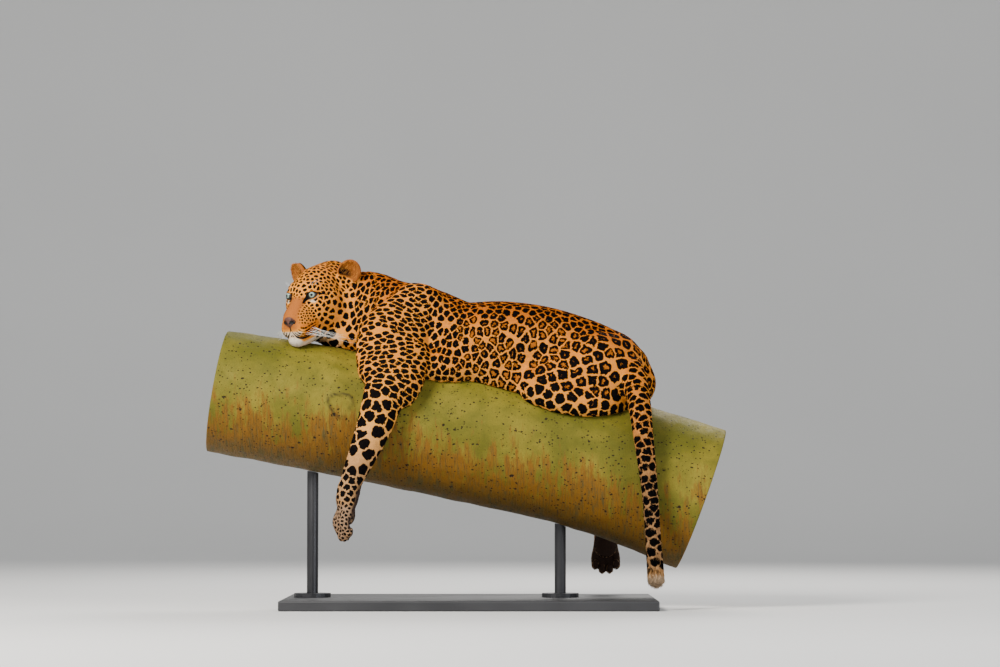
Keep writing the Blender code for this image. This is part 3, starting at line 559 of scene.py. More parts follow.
def leopard(field):
    """The whole animal in one field, sunk by its coat's depth, with the branch taken away."""
    trunk_forms(field)
    head_forms(field)
    field.sink(coat_depth)
    ear_forms(field)
    head_details(field)
    for place in PAWS.values():
        paw_forms(field, place)
    field.limb([(x, 0.0, z, r, r) for x, z, r in BRANCH_LINE], ACROSS, 0.004, 3, cut=True)
    field.close()
    return field


def coat_depth(points):
    """How deep the skin lies below the coat: most on the trunk, least on the face and paws."""
    forward = np.array(HEAD_PLACE.to_3x3(), np.float32)[:, 0]
    ahead = (points - np.asarray(EYES_MIDDLE, np.float32)) @ forward
    depth = np.clip(0.0010 - 0.018 * (ahead + 0.02), 0.0010, 0.0036)
    for place in PAWS.values():
        away = np.linalg.norm(points - np.array(place.translation, np.float32), axis=-1)
        depth = np.minimum(depth, np.clip(0.0006 + 0.020 * (away - 0.03), 0.0006, 0.0036))
    return depth


def facing(point, direction):
    """A place whose first axis points this way."""
    return Matrix.Translation(point) @ Vector(direction).to_track_quat("X", "Z").to_matrix().to_4x4()


BODY_BOX = (-0.52, -0.36, 0.06), (0.64, 0.36, 1.06)
SMOOTHINGS = 2  # times that the skin is smoothed, and then moved back towards its field's surface
# Where finer skin takes over from the body's: a place whose first axis points out of the body
# through the middle of the cut, the box of what lies beyond it in that place's axes, and the box
# and the step of the finer grid
ENDS = {
    "head": (
        facing((-0.362, 0.062, 0.90), (-0.84, -0.45, 0.30)),
        ((0.0, -0.15, -0.19), (0.5, 0.15, 0.25)),
        ((-0.61, -0.23, 0.72), (-0.235, 0.16, 1.06)),
        HEAD_STEP,
    ),
    "paw_left_fore": (
        facing((-0.345, -0.247, 0.372), (0.0, 0.0, -1.0)),
        ((0.0, -0.10, -0.10), (0.25, 0.10, 0.10)),
        ((-0.46, -0.34, 0.17), (-0.25, -0.15, 0.40)),
        PAW_STEP,
    ),
    "paw_right_fore": (
        facing((-0.455, 0.207, 0.676), (-1.0, 0.0, 0.0)),
        ((0.0, -0.09, -0.12), (0.25, 0.09, 0.12)),
        ((-0.65, 0.11, 0.57), (-0.43, 0.30, 0.77)),
        PAW_STEP,
    ),
    "foot_right_hind": (
        facing((0.419, 0.262, 0.345), (0.0, 0.0, -1.0)),
        ((0.0, -0.10, -0.10), (0.30, 0.10, 0.10)),
        ((0.32, 0.17, 0.06), (0.52, 0.35, 0.37)),
        PAW_STEP,
    ),
}


def in_box(points, place, box):
    """Which points lie in a box that is given in a place's own axes."""
    local = (points - np.array(place.translation)) @ np.array(place.to_3x3())
    return ((local > box[0]) & (local < box[1])).all(1)


def cut_open(bm, place, chosen, beyond):
    """Cuts the chosen faces at a place's plane and drops them beyond it, or on its near side. The
    parts are given in a fixed order, so that the skin is the same each time."""
    parts = [part for face in chosen for part in (face, *face.edges, *face.verts)]
    normal = place.to_3x3().col[0]
    bmesh.ops.bisect_plane(
        bm,
        geom=list(dict.fromkeys(parts)),
        plane_co=place.translation,
        plane_no=normal,
        clear_outer=beyond,
        clear_inner=not beyond,
    )


def chosen_faces(bm, place, box):
    """The faces whose middles lie in the box."""
    middles = np.array([face.calc_center_median() for face in bm.faces])
    return [face for face, inside in zip(bm.faces, in_box(middles, place, box)) if inside]


def with_end(bm, place, box, end, step):
    """Takes a body's end off at a plane and joins the finer end there with a narrow ring of faces."""
    low = (-2 * step, box[0][1], box[0][2])
    back = Matrix.Translation(-0.6 * step * place.to_3x3().col[0]) @ place
    cut_open(bm, back, chosen_faces(bm, place, (low, box[1])), True)
    fine = bmesh.new()
    fine.from_mesh(end)
    cut_open(fine, place, list(fine.faces), False)
    keep = set(chosen_faces(fine, place, ((-1e-4, box[0][1], box[0][2]), box[1])))
    bmesh.ops.delete(fine, geom=[face for face in fine.faces if face not in keep], context="FACES")
    loose = bpy.data.meshes.new("end")
    fine.to_mesh(loose)
    fine.free()
    bm.from_mesh(loose)
    rims = [edge for edge in bm.edges if edge.is_boundary]
    bmesh.ops.bridge_loops(bm, edges=rims)


@functools.lru_cache(None)
def skin_shape():
    """The skin's points and triangles, and the slope of the field there: coarse on the body and
    fine on the head and feet, each point moved onto the zero surface of the field around it."""
    body = leopard(Field(*BODY_BOX, BODY_STEP))
    fields = [(body, None, None)]
    bm = bmesh.new()
    bm.from_mesh(mesh_of("body", *body.surface()))
    for place, box, reach, step in ENDS.values():
        field = leopard(Field(*reach, step))
        fields.append((field, place, box))
        with_end(bm, place, box, mesh_of("end", *field.surface()), BODY_STEP)
    bmesh.ops.triangulate(bm, faces=bm.faces)
    bmesh.ops.delete(bm, geom=[vert for vert in bm.verts if not vert.link_faces], context="VERTS")
    bmesh.ops.recalc_face_normals(bm, faces=bm.faces)
    mesh = bpy.data.meshes.new("skin")
    bm.to_mesh(mesh)
    bm.free()
    work = bpy.data.objects.new("work", mesh)
    bpy.context.scene.collection.objects.link(work)
    modifier = work.modifiers.new("Smooth", "SMOOTH")
    modifier.factor, modifier.iterations = 0.5, SMOOTHINGS
    graph = bpy.context.evaluated_depsgraph_get()
    graph.update()
    mesh = bpy.data.meshes.new_from_object(work.evaluated_get(graph))
    bpy.data.objects.remove(work)
    points = read(mesh.vertices, "co", 3)
    triangles = read(mesh.polygons, "vertices", 3, np.int32)
    for field, place, box in fields:
        here = np.ones(len(points), bool) if place is None else in_box(points, place, box)
        for _ in range(SMOOTHINGS):
            value, slope = field.read(points[here])
            steep = np.maximum((slope**2).sum(1), 0.05)
            move = -(value / steep)[:, None] * slope
            far = np.linalg.norm(move, axis=1)
            points[here] += move * np.minimum(1.0, 0.5 * field.step / np.maximum(far, 1e-9))[:, None]
    return points, triangles


def read(items, name, width, kind=np.float32):
    """One property of every item of a mesh, as rows of an array."""
    values = np.empty(len(items) * width, kind)
    items.foreach_get(name, values)
    return values.reshape(-1, width).astype(float if kind == np.float32 else kind)


def unit(vectors):
    """The same ways at length 1."""
    return vectors / np.maximum(np.linalg.norm(vectors, axis=-1, keepdims=True), 1e-9)


def ramp(value, low, high):
    """0 below low, 1 above high, and a smooth rise between."""
    share = np.clip((value - low) / (high - low), 0.0, 1.0)
    return share * share * (3.0 - 2.0 * share)


def corner_normals(points, triangles):
    """Area-weighted normals at the points."""
    a, b, c = (points[triangles[:, k]] for k in range(3))
    face = np.cross(b - a, c - a)
    out = np.zeros_like(points)
    for k in range(3):
        for axis in range(3):
            out[:, axis] += np.bincount(triangles[:, k], face[:, axis], len(points))
    return unit(out)


# Lie of the coat: the hair lies along each part from its first station to its last.
PARTS = {
    "neck": NECK,
    "trunk": TRUNK,
    "left_foreleg": LEFT_FORELEG,
    "right_foreleg": RIGHT_FORELEG,
    "left_thigh": LEFT_THIGH,
    "left_shank": LEFT_SHANK,
    "left_foot": LEFT_HIND_FOOT,
    "right_thigh": RIGHT_THIGH,
    "right_shank": RIGHT_SHANK,
    "tail": TAIL,
}


def along_part(points, stations):
    """How many of its own radii each point is from a part's middle line, how far along the line it
    lies (0 to 1), the line's direction there, and the angle around it (0 outward on the left)."""
    rows = between(stations, 2)
    best = np.full(len(points), 1e9)
    share = np.zeros(len(points))
    heading = np.zeros((len(points), 3))
    angle = np.zeros(len(points))
    lengths = np.linalg.norm(np.diff(rows[:, :3], axis=0), axis=1)
    start = np.concatenate([[0.0], np.cumsum(lengths)])
    for i, (a, b) in enumerate(zip(rows[:-1], rows[1:])):
        gap, local, radii = section(points.astype(np.float32), a, b, np.asarray(ACROSS))
        score = np.sqrt(gap) / radii[:, :2].mean(1)
        closer = score < best
        line = b[:3] - a[:3]
        t = np.clip((points - a[:3]) @ line / (line @ line), 0.0, 1.0)
        best = np.where(closer, score, best)
        share = np.where(closer, (start[i] + t * lengths[i]) / start[-1], share)
        heading = np.where(closer[:, None], line / lengths[i], heading)
        angle = np.where(closer, np.arctan2(local[:, 1], local[:, 0]), angle)
    return best, share, heading, angle


def near_path(points, path):
    """The distance from each point to a line through the path's points, and how far along it is."""
    path = np.asarray(path, float)
    best, share = np.full(len(points), 1e9), np.zeros(len(points))
    for i, (a, b) in enumerate(zip(path[:-1], path[1:])):
        line = b - a
        t = np.clip((points - a) @ line / (line @ line), 0.0, 1.0)
        gap = np.linalg.norm(points - a - t[:, None] * line, axis=1)
        closer = gap < best
        best, share = np.where(closer, gap, best), np.where(closer, (i + t) / (len(path) - 1), share)
    return best, share


# Black lines of the face on its left half, in the head's axes and tenths of a millimetre: from the
# nose's foot along the lips, around the nostril, from the eye's inner corner down, and from its
# outer corner back
MOUTH, NOSTRIL, TEAR, OUTER_CORNER = (
    np.array(table(path, TENTHS))
    for path in (
        "880 0 -880, 830 10 -1040, 760 90 -1140, 660 200 -1200, 440 370 -1240, "
        "120 470 -1150, -60 520 -1100",
        "870 55 -780, 830 120 -730, 760 175 -720, 700 205 -700",
        "90 310 -40, 170 275 -100, 260 250 -170, 330 235 -240",
        "-50 550 30, -200 650 -10, -380 700 -120",
    )
)


def almond_gap(local, hand):
    """How far outside the opening between the lids a point lies, and its place across and above."""
    across, above, look = eye_axes(hand)
    offset = local - np.array((0.0, hand * EYE_SPREAD, 0.0))
    u, v = offset @ across, offset @ above + LID_DROP
    return almond(u, v) + np.where(offset @ look < -0.012, 1.0, 0.0), u, v


def blob(local, centre, size):
    """1 at the middle of an oval patch, and 0 beyond it."""
    away = np.linalg.norm((local - np.asarray(centre)) / np.asarray(size), axis=1)
    return 1.0 - ramp(away, 0.55, 1.1)


class Coat:
    """What the coat is like at each point of the skin."""

    def __init__(self, points, normals):
        self.points, self.normals = points, normals
        count = len(points)
        # the points in the head's axes
        self.ahead = (points - np.array(EYES_MIDDLE)) @ np.array(HEAD_PLACE.to_3x3())
        found = [along_part(points, stations) for stations in PARTS.values()]
        score = np.stack([f[0] for f in found], 1)
        head_gap = self.head_score()
        self.part = np.where(head_gap < score.min(1), len(PARTS), score.argmin(1))
        rows = np.arange(count)
        nearest = np.minimum(self.part, len(PARTS) - 1)
        self.share = np.stack([f[1] for f in found], 1)[rows, nearest]
        self.angle = np.stack([f[3] for f in found], 1)[rows, nearest]
        weight = np.exp(-5.0 * (score - score.min(1, keepdims=True)))
        lie = (np.stack([f[2] for f in found], 1) * weight[..., None]).sum(1)
        self.flow = unit(lie / weight.sum(1)[:, None])
        self.is_head = self.part == len(PARTS)
        self.set_paws()
        self.set_body()
        self.set_head()
        self.set_ears()
        self.flow = unit(self.flow - normals * (self.flow * normals).sum(1)[:, None])

    def head_score(self):
        """Below 1 inside an egg around the head and the ears, in its own radii."""
        local = self.ahead - np.array((-0.045, 0.0, -0.035))
        return np.linalg.norm(local / np.array((0.150, 0.125, 0.135)), axis=1) * 0.9

    def where(self, *names):
        """Which points belong to these parts."""
        return np.isin(self.part, [list(PARTS).index(name) for name in names])

    def put(self, where, **values):
        """Sets properties of the coat where this holds."""
        for name, value in values.items():
            setattr(self, name, np.where(where, value, getattr(self, name)))

    def set_paws(self):
        """Toes: the hair lies towards them."""
        self.paw = np.zeros(len(self.points))
        self.palm = np.zeros(len(self.points))
        self.toes = np.full(len(self.points), -1)
        for number, place in enumerate(PAWS.values()):
            axes = np.array(place.to_3x3())
            local = (self.points - np.array(place.translation)) @ axes
            egg = np.linalg.norm((local - (0.05, 0, 0)) / (0.095, 0.065, 0.06), axis=1)
            near = 1.0 - ramp(egg, 0.8, 1.25)
            self.toes = np.where(near > 0.5, number, self.toes)
            self.flow = unit(self.flow * (1 - near[:, None]) + axes[:, 0] * near[:, None])
            self.paw = np.maximum(self.paw, near * ramp(local[:, 0], -0.005, 0.035))
            under = ramp(-(self.normals @ axes[:, 2]), 0.25, 0.7) * near
            self.palm = np.maximum(self.palm, under)

    def set_body(self):
        """Colours, the size and stretch of the spots, and the hair's length over the body."""
        x, up, down = self.points[:, 0], self.normals[:, 2], self.share
        trunk, haunch = self.where("trunk", "neck"), self.where("left_thigh", "right_thigh")
        fore, tail = self.where("left_foreleg", "right_foreleg"), self.where("tail")
        shank = self.where("left_shank", "right_shank", "left_foot")
        self.pale = 0.75 * ramp(-up, -0.45, 0.55)
        self.deep = ramp(up, 0.15, 0.95) * np.where(trunk, 1.0, np.where(haunch, 0.95, 0.4))
        self.rings = np.where(trunk, 0.88 * ramp(x, -0.12, 0.02), 0.0)
        self.size = np.where(trunk, 0.0205 + 0.0095 * ramp(x, -0.14, 0.20), 0.024)
        self.stretch = np.where(trunk, 1.25, 1.0)
        self.gap = np.full(len(x), 0.052)
        self.length = np.where(trunk, 0.0080, 0.0068)
        spine, top = ramp(up, 0.45, 0.85) * trunk, ramp(up, 0.80, 0.97) * trunk
        self.size = self.size * (1 - 0.12 * spine - 0.10 * top)
        self.rings = self.rings * (1 - 0.70 * spine)
        # spots on the flank stand upright, and on the spine they lie along it
        self.long_way = np.where(top[:, None] > 0.5, self.flow, np.cross(self.normals, self.flow))
        self.put(top > 0.5, stretch=1.35)
        self.put(self.where("neck"), size=0.0195, stretch=1.55)
        self.put(
            fore,
            size=0.0190 + 0.0165 * ramp(down, 0.38, 0.62) - 0.014 * ramp(down, 0.80, 1.0),
            rings=0.25 * (1 - ramp(down, 0.2, 0.5)),
            stretch=1.65 - 0.60 * ramp(down, 0.42, 0.62),
            pale=np.maximum(self.pale, 0.22 + 0.62 * ramp(down, 0.30, 0.70)),
        )
        self.put(haunch, size=0.0345, rings=0.80)
        self.put(shank, size=0.032, rings=0.35, pale=np.maximum(self.pale, 0.45))
        self.put(
            tail,
            size=0.0235 + 0.0035 * ramp(down, 0.15, 0.6),
            stretch=1.25,
            pale=0.15 + 0.68 * ramp(down, 0.25, 0.8),
            gap=0.050 - 0.02 * ramp(down, 0.4, 0.8),
            length=0.010 + 0.010 * ramp(down, 0.7, 1.0),
        )
        tip = tail * ramp(down, 0.955, 0.985)
        self.spots = 1 - 0.85 * tip
        self.grey = np.maximum(0.62 * ramp(down, 0.25, 0.75) * tail - 0.35 * tip, 0.80 * self.paw)
        self.pale = np.maximum(self.pale, 0.92 * tip)
        self.put(fore, grey=np.maximum(self.grey, 0.55 * ramp(down, 0.62, 0.92)))
        self.size = self.size * (1 - self.paw) + 0.0125 * self.paw
        self.stretch = self.stretch * (1 - self.paw) + self.paw
        self.rings = self.rings * (1 - self.paw)
        elbow = 0.012 * ramp(down, 0.3, 0.5) * fore
        self.gap = self.gap + 0.006 * self.rings - elbow + 0.10 * self.paw
        self.gap = self.gap + 0.035 * ramp(down, 0.70, 0.95) * fore * (1 - self.paw)
        self.pale = np.maximum(self.pale, 0.8 * self.paw)
        self.length = self.length * (1 - self.paw) + 0.0042 * self.paw
        self.length = self.length + 0.004 * (ramp(-up, 0.3, 0.9) * ~tail)  # longer on the belly
        self.dark, self.leather = 0.92 * self.palm, 0.8 * self.palm
        self.bare, self.rust = np.zeros(len(x)), np.zeros(len(x))

    def set_head(self):
        """The face: leather, lips, lids, lines and pale patches, in the head's axes."""
        local = self.ahead
        u, v, w = local.T
        near = self.is_head
        face, side = near.astype(float), np.abs(v)
        back = unit(local - np.array((0.082, 0.0, -0.070)) + np.array((-0.02, 0.0, 0.0)))
        lie = back @ np.array(HEAD_PLACE.to_3x3()).T
        mix = (1.0 - ramp(self.head_score(), 0.80, 1.05))[:, None]
        self.flow = unit(self.flow * (1 - mix) + lie * mix)
        cheek = ramp(-w, -0.01, 0.03) * ramp(-u, -0.01, 0.03)
        size = 0.0146 + 0.0074 * cheek + 0.003 * ramp(-u, 0.10, 0.17)
        under_eye = blob(local, (0.012, 0.0, -0.045), (0.040, 0.075, 0.026))
        muzzle = ramp(u, 0.012, 0.032)
        size = (size - 0.0060 * under_eye) * (1 - muzzle) + 0.0086 * muzzle
        throat = ramp(-w, 0.095, 0.130) * ramp(-u, -0.02, 0.03)
        from_jaw = np.linalg.norm(local - (-0.055, 0.0, -0.125), axis=1)
        throat = throat * (1 - ramp(from_jaw, 0.075, 0.135))
        size = size + 0.014 * throat
        self.put(
            near,
            size=size,
            rings=0.0,
            stretch=1.0 + 0.35 * ramp(-u, 0.06, 0.12) + 0.6 * throat,
            gap=0.108 - 0.03 * throat - 0.02 * under_eye + 0.03 * muzzle,
            deep=0.35 * ramp(w, 0.03, 0.08),
        )
        self.put(near[:, None], long_way=np.cross(self.normals, self.flow))
        rise = w - np.interp(u, MOUTH[::-1, 0], MOUTH[::-1, 2])
        pale = 0.22 * cheek + 0.66 * throat + 0.95 * ramp(-rise, 0.0, 0.012) * ramp(u, -0.05, 0.02)
        pad_front = ramp(u, 0.050, 0.068) * ramp(-w, 0.088, 0.104)
        for hand in (-1, 1):
            pale = pale + 0.95 * blob(local, (0.010, hand * 0.047, -0.0185), (0.018, 0.016, 0.0070))
            pale = pale + 0.85 * blob(local, (0.006, hand * 0.024, 0.017), (0.016, 0.007, 0.012))
        pale = pale + 0.95 * pad_front
        self.pale = np.where(near, np.clip(pale, 0, 1), np.maximum(self.pale, 0.66 * throat))
        bridge = (1 - ramp(side, 0.016, 0.032)) * ramp(u, -0.012, 0.012) * ramp(-w, -0.002, 0.016)
        self.rust = face * np.clip(bridge + 0.35 * muzzle * (1 - pad_front), 0, 1)
        self.rust = self.rust * (1 - np.clip(pale, 0, 1))
        pad = (1 - ramp(rise, 0.036, 0.044)) * ramp(u, -0.004, 0.010)
        chin = ramp(-w, 0.112, 0.126) * ramp(u, 0.0, 0.02)
        plain = np.maximum.reduce([bridge, pad, ramp(u, 0.060, 0.072), chin])
        self.put(near, spots=1 - plain)
        mirrored = np.stack([u, side, w], 1)
        shape = np.where((near & (v > 0))[:, None], mirrored, 9.0)
        mouth = self.on_skin(shape, MOUTH)
        gap, share = near_path(mirrored, mouth)
        lip = gap - 0.0012 - 0.0027 * ramp(share, 0.22, 0.60) * (1 - ramp(share, 0.93, 1.0))
        nostril, along = near_path(mirrored, self.on_skin(shape, NOSTRIL))
        black = np.minimum(lip, nostril - 0.0016 - 0.0025 * np.sin(math.pi * along))
        from_lip = np.where(rise > 0, gap, -0.03)
        along_lip = 0.11 * share
        opening, across, above_eye = almond_gap(mirrored, 1)
        inner = ramp(-across, 0.002, 0.013)
        upper = ramp(above_eye, 0.0, 0.006)
        black = np.minimum(black, opening - 0.0023 - 0.0026 * inner - 0.0014 * upper)
        for path, width in ((TEAR, 0.0072), (OUTER_CORNER, 0.0034)):
            gap, share = near_path(mirrored, self.on_skin(shape, path))
            black = np.minimum(black, gap - width * (1 - share) ** 0.6)
        streak = ramp(opening, 0.0030, 0.0042) * (1 - ramp(opening, 0.0060, 0.0090))
        streak = streak * ramp(-above_eye, 0.002, 0.006)
        self.put(near, pale=np.maximum(self.pale, 0.95 * streak))
        narrow = 1.0 - 0.60 * ramp(-w, 0.070, 0.090)
        egg = np.stack([(u - 0.080) / 0.019, side / (0.0212 * narrow), (w + 0.073) / 0.0165], 1)
        leather = (np.linalg.norm(egg, axis=1) - 1) * 0.017
        leather = np.maximum(leather, 0.066 - u)
        self.lines = np.stack([black, leather, from_lip, along_lip], 1)
        self.lines[:, :2] = np.where(near[:, None], self.lines[:, :2], 0.03)
        self.lines[:, 2] = np.where(near, self.lines[:, 2], -0.03)
        self.lines = 100 * np.clip(self.lines, -0.08, 0.03 + 0.09 * np.array((0, 0, 1, 1)))
        self.bare = np.maximum(self.bare, face * (1 - ramp(np.minimum(leather, lip), -0.0004, 0.0012)))
        self.bare = np.maximum(self.bare, face * (1 - ramp(opening, 0.0012, 0.0026)))
        self.spots = self.spots * (1 - face * (1 - ramp(opening, 0.004, 0.007)))
        short = 0.0026 + 0.0034 * ramp(-u, -0.02, 0.07) + 0.002 * throat
        self.put(near, length=short + 0.0014 * ramp(-w, 0.12, 0.135))

    def on_skin(self, shape, path):
        """A path's points, moved along the nearest skin point's normal on to the skin. The shape is
        the skin in the head's axes, with what doesn't count far away."""
        fine = between(path, 5)
        nearest = [((shape - point) ** 2).sum(1).argmin() for point in fine]
        out = (self.normals @ np.array(HEAD_PLACE.to_3x3()))[nearest]
        return fine - out * ((fine - shape[nearest]) * out).sum(1)[:, None]

    def set_ears(self):
        """Ears: tan hair, black outside with a pale patch, a tawny rim, and painted shade in the cup.
        """
        self.cup = np.zeros(len(self.points))
        self.ear_side = np.zeros(len(self.points), int)
        for hand in (-1, 1):
            place = ear_place(hand)
            axes = np.array(place.to_3x3())
            local = (self.points - np.array(place.translation)) @ axes
            egg = (local - (0.0, 0.0, EAR_MIDDLE + 0.002)) / (0.026, 0.040, 0.046)
            egg = np.linalg.norm(egg, axis=1)
            on = (1 - ramp(egg, 0.95, 1.10)) * ramp(local[:, 2], 0.004, 0.014) * self.is_head
            hollow = (local - (0.0165, 0.0, 0.029)) / (0.0200, 0.0325, 0.0360)
            inside = np.linalg.norm(hollow, axis=1) < 1.04
            front = self.normals @ axes[:, 0]
            cup = on * inside * ramp(front, -0.3, 0.1)
            rim = on * (1 - cup) * ramp(front, -0.35, 0.2)
            rear = on * (1 - cup) * (1 - ramp(front, -0.35, 0.1))
            height = local[:, 2] / 0.064
            self.cup = np.maximum(self.cup, cup)
            self.ear_side = np.where(on > 0.5, hand, self.ear_side)
            self.flow = unit(self.flow * (1 - on[:, None]) + axes[:, 2] * on[:, None])
            patch = np.linalg.norm((local[:, 1:] - (0.0, 0.036)) / (0.020, 0.013), axis=1)
            patch = 1 - ramp(patch, 0.7, 1.1)
            black_rear = rear * (1 - patch) * (1 - ramp(height, 0.80, 0.92))
            # painted shade deep in the cup, strongest low down at its back
            painted_cup_shade = cup * (1 - ramp(height, 0.20, 0.62)) * ramp(-local[:, 1] * hand, -0.022, 0.016)
            # black on the backs, painted shade in the cup (deepest low, lighter over all of it), a
            # darker rim
            dark = 0.95 * black_rear + 0.90 * painted_cup_shade + 0.42 * cup + 0.12 * rim
            self.dark = np.maximum(self.dark * (1 - on), dark)
            self.pale = self.pale * (1 - on) + cup * 0.25 + rear * patch
            self.rust = self.rust * (1 - on) + 1.0 * rim + 0.90 * cup
            self.spots = self.spots * (1 - on)
            self.length = self.length * (1 - on) + on * (0.0040 + 0.0040 * cup)


SPOT_TRIES, MOST_SPOTS = 32000, 6000
SPOT_ROOM = 0.60  # the least squared distance between spots, in their own size
BATCH = 4000  # points compared with all spots at a time
SPOT_SEED, CHANCE_SEED, COAT_SEED, LENGTH_SEEDS = 7, 11, 20, 50


def spread_spots(coat, areas, seed):
    """Middles of the spots: points of the skin drawn at random, closer where spots are small, and
    kept where no kept one is nearer than the spots' size there, measured in their own stretch."""
    random = np.random.default_rng(seed)
    weight = areas / coat.size**2
    picks = random.choice(len(weight), SPOT_TRIES, p=weight / weight.sum())
    frames = spot_frames(coat)
    middles, kept = np.full((MOST_SPOTS, 3), 1e3), []  # far away until they are set
    for pick in picks:
        away = (middles[: len(kept) + 1] - coat.points[pick]) @ frames[pick].T
        if (away * away).sum(1).min() > SPOT_ROOM:
            middles[len(kept)] = coat.points[pick]
            kept.append(pick)
    return np.array(kept), frames


def spot_frames(coat):
    """For each point, the rows that measure an offset along, across and through its spot."""
    along = unit(coat.long_way - coat.normals * (coat.long_way * coat.normals).sum(1)[:, None])
    across = np.cross(coat.normals, along)
    long = coat.size * np.sqrt(coat.stretch)
    wide = coat.size / np.sqrt(coat.stretch)
    deep = 0.9 * coat.size
    return np.stack([along / long[:, None], across / wide[:, None], coat.normals / deep[:, None]], 1)


def two_nearest(points, normals, middles, frames, facing_out):
    """For each point the nearest and second nearest spot, each in that spot's own measure."""
    first, second = np.empty(len(points), int), np.empty(len(points), int)
    rows = frames.transpose(1, 2, 0).astype(np.float32)  # measure, axis, spot
    shift = np.einsum("mas,sa->ms", rows, middles.astype(np.float32))
    facing_out = facing_out.astype(np.float32)
    for start in range(0, len(points), BATCH):
        batch = slice(start, start + BATCH)
        here = points[batch].astype(np.float32)
        away = sum((here @ rows[m] - shift[m]) ** 2 for m in range(3))
        away += 1.2 * (1.0 - normals[batch].astype(np.float32) @ facing_out.T)
        pair = np.argpartition(away, 1, axis=1)[:, :2]
        value = np.take_along_axis(away, pair, 1)
        swap = value[:, 0] > value[:, 1]
        first[batch] = np.where(swap, pair[:, 1], pair[:, 0])
        second[batch] = np.where(swap, pair[:, 0], pair[:, 1])
    return first, second


@functools.lru_cache(None)
def dressed_skin():
    """The skin's shape, its coat, and at each triangle's corners the place within the nearest
    spot and the next: (along, across, chance, ring) and (along, across, gap, chance), each with
    the rows that turn a step over the skin into a step along and across."""
    points, triangles = skin_shape()
    normals = corner_normals(points, triangles)
    coat = Coat(points, normals)
    a, b, c = (points[triangles[:, k]] for k in range(3))
    face_area = 0.5 * np.linalg.norm(np.cross(b - a, c - a), axis=1)
    areas = sum(np.bincount(triangles[:, k], face_area, len(points)) for k in range(3)) / 3
    kept, frames = spread_spots(coat, areas, SPOT_SEED)
    first, second = two_nearest(points, normals, points[kept], frames[kept], normals[kept])
    random = np.random.default_rng(CHANCE_SEED)
    chance, rings = random.random(len(kept)), coat.rings[kept]
    ring = np.clip(rings + 0.5 * (random.random(len(kept)) - 0.5) * (rings > 0.05), 0, 1)
    owner, other = first[triangles[:, 0]], second[triangles[:, 0]]
    marks = {}
    for name, spot, rest in (
        ("near", owner, (chance[owner], ring[owner])),
        ("far", other, (coat.gap[kept[owner]], chance[other])),
    ):
        measure = frames[kept[spot]][:, :2]
        place = np.einsum("tcx,tmx->tcm", points[triangles] - points[kept[spot]][:, None], measure)
        rest = np.broadcast_to(np.stack(rest, 1)[:, None], place.shape)
        marks[name] = np.concatenate([place, rest], 2), measure
    # coat.dark holds dark soles, black backs of the ears and the painted shade inside the ears
    zone = np.stack([coat.pale, coat.deep, coat.dark, coat.spots], 1)
    face = np.stack([coat.leather, coat.rust, coat.grey, coat.bare], 1)
    rows = {"zone": zone, "face": face, "lines": coat.lines}
    return points, triangles, normals, coat, face_area, marks, rows


def store(mesh, name, values, domain="POINT"):
    """Gives a mesh an attribute: rows of four as a colour, or single numbers."""
    values = np.asarray(values, np.float32)
    kind, field = ("FLOAT_COLOR", "color") if values.ndim > 1 else ("FLOAT", "value")
    mesh.attributes.new(name, kind, domain).data.foreach_set(field, values.ravel())


def piece(name, mesh, slot, material, *nodes):
    """Puts a finished mesh in the scene as a piece of the object."""
    obj = bpy.data.objects.new(name, mesh)
    mesh.name = name
    mesh.materials.clear()
    mesh.materials.append(material)
    bpy.context.scene.collection.objects.link(obj)
    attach(obj, "root")
    if nodes:
        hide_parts(*nodes)
    return obj


def tuft_roots(count, weight, seed):
    """Roots spread over the skin in proportion to a weight for each triangle: the triangle of each
    root and its shares of the triangle's corners. Even steps through the summed weights keep the
    spread even, and the places within a triangle are random."""
    random = np.random.default_rng(seed)
    total = np.cumsum(weight)
    at = (np.arange(count) + random.random(count)) * (total[-1] / count)
    face = np.minimum(np.searchsorted(total, at), len(weight) - 1)
    u, v = random.random(count), random.random(count)
    flip = u + v > 1
    u, v = np.where(flip, 1 - u, u), np.where(flip, 1 - v, v)
    return face, np.stack([1 - u - v, u, v], 1)


def unwrap(part, toes, ear_side, cup, points, charts):
    """A root's place on the unwrapped skin: along and around its part, within that part's chart.
    The head is unwrapped around its own axis, each ear over its two faces, each paw around itself."""
    place = np.zeros((len(points), 2))
    keys = np.where(toes >= 0, 50 + toes, part)
    keys = np.where(ear_side != 0, 100 + ear_side * 10 + (cup > 0.5), keys)
    cells = int(math.ceil(math.sqrt(charts)))
    names = list(PARTS)
    for number, key in enumerate(np.unique(keys)):
        here = keys == key
        local = points[here]
        if key >= 80:
            spot = ear_place(1 if key > 100 else -1)
            own = (local - np.array(spot.translation)) @ np.array(spot.to_3x3())
            flat = np.stack([own[:, 1] / 0.09 + 0.5, own[:, 2] / 0.09], 1)
        elif key >= 50:
            spot = list(PAWS.values())[key - 50]
            own = (local - np.array(spot.translation)) @ np.array(spot.to_3x3())
            around = np.arctan2(own[:, 1], own[:, 2])
            flat = np.stack([own[:, 0] / 0.18 + 0.25, around / (2 * math.pi) + 0.5], 1)
        elif key == len(names):
            own = (local - np.array(EYES_MIDDLE)) @ np.array(HEAD_PLACE.to_3x3()) - (0, 0, -0.035)
            around = np.arctan2(own[:, 1], own[:, 2])
            flat = np.stack([own[:, 0] / 0.34 + 0.65, around / (2 * math.pi) + 0.5], 1)
        else:
            _, share, _, angle = along_part(local, PARTS[names[key]])
            flat = np.stack([share, angle / (2 * math.pi) + 0.5], 1)
        cell = np.array((number % cells, number // cells))
        place[here] = (cell + 0.02 + 0.95 * np.clip(flat, 0, 1)) / cells
    return place


TUFT_FOLLOWS = 0.85  # how far a tuft's markings change along it as the skin's below do
TUFT_PATCH = 0.0014  # half the width of a tuft's patch of the map
TUFT_WIDEST, TUFT_SLENDER = 0.0020, 0.17  # a tuft's greatest width, and its width in its own length


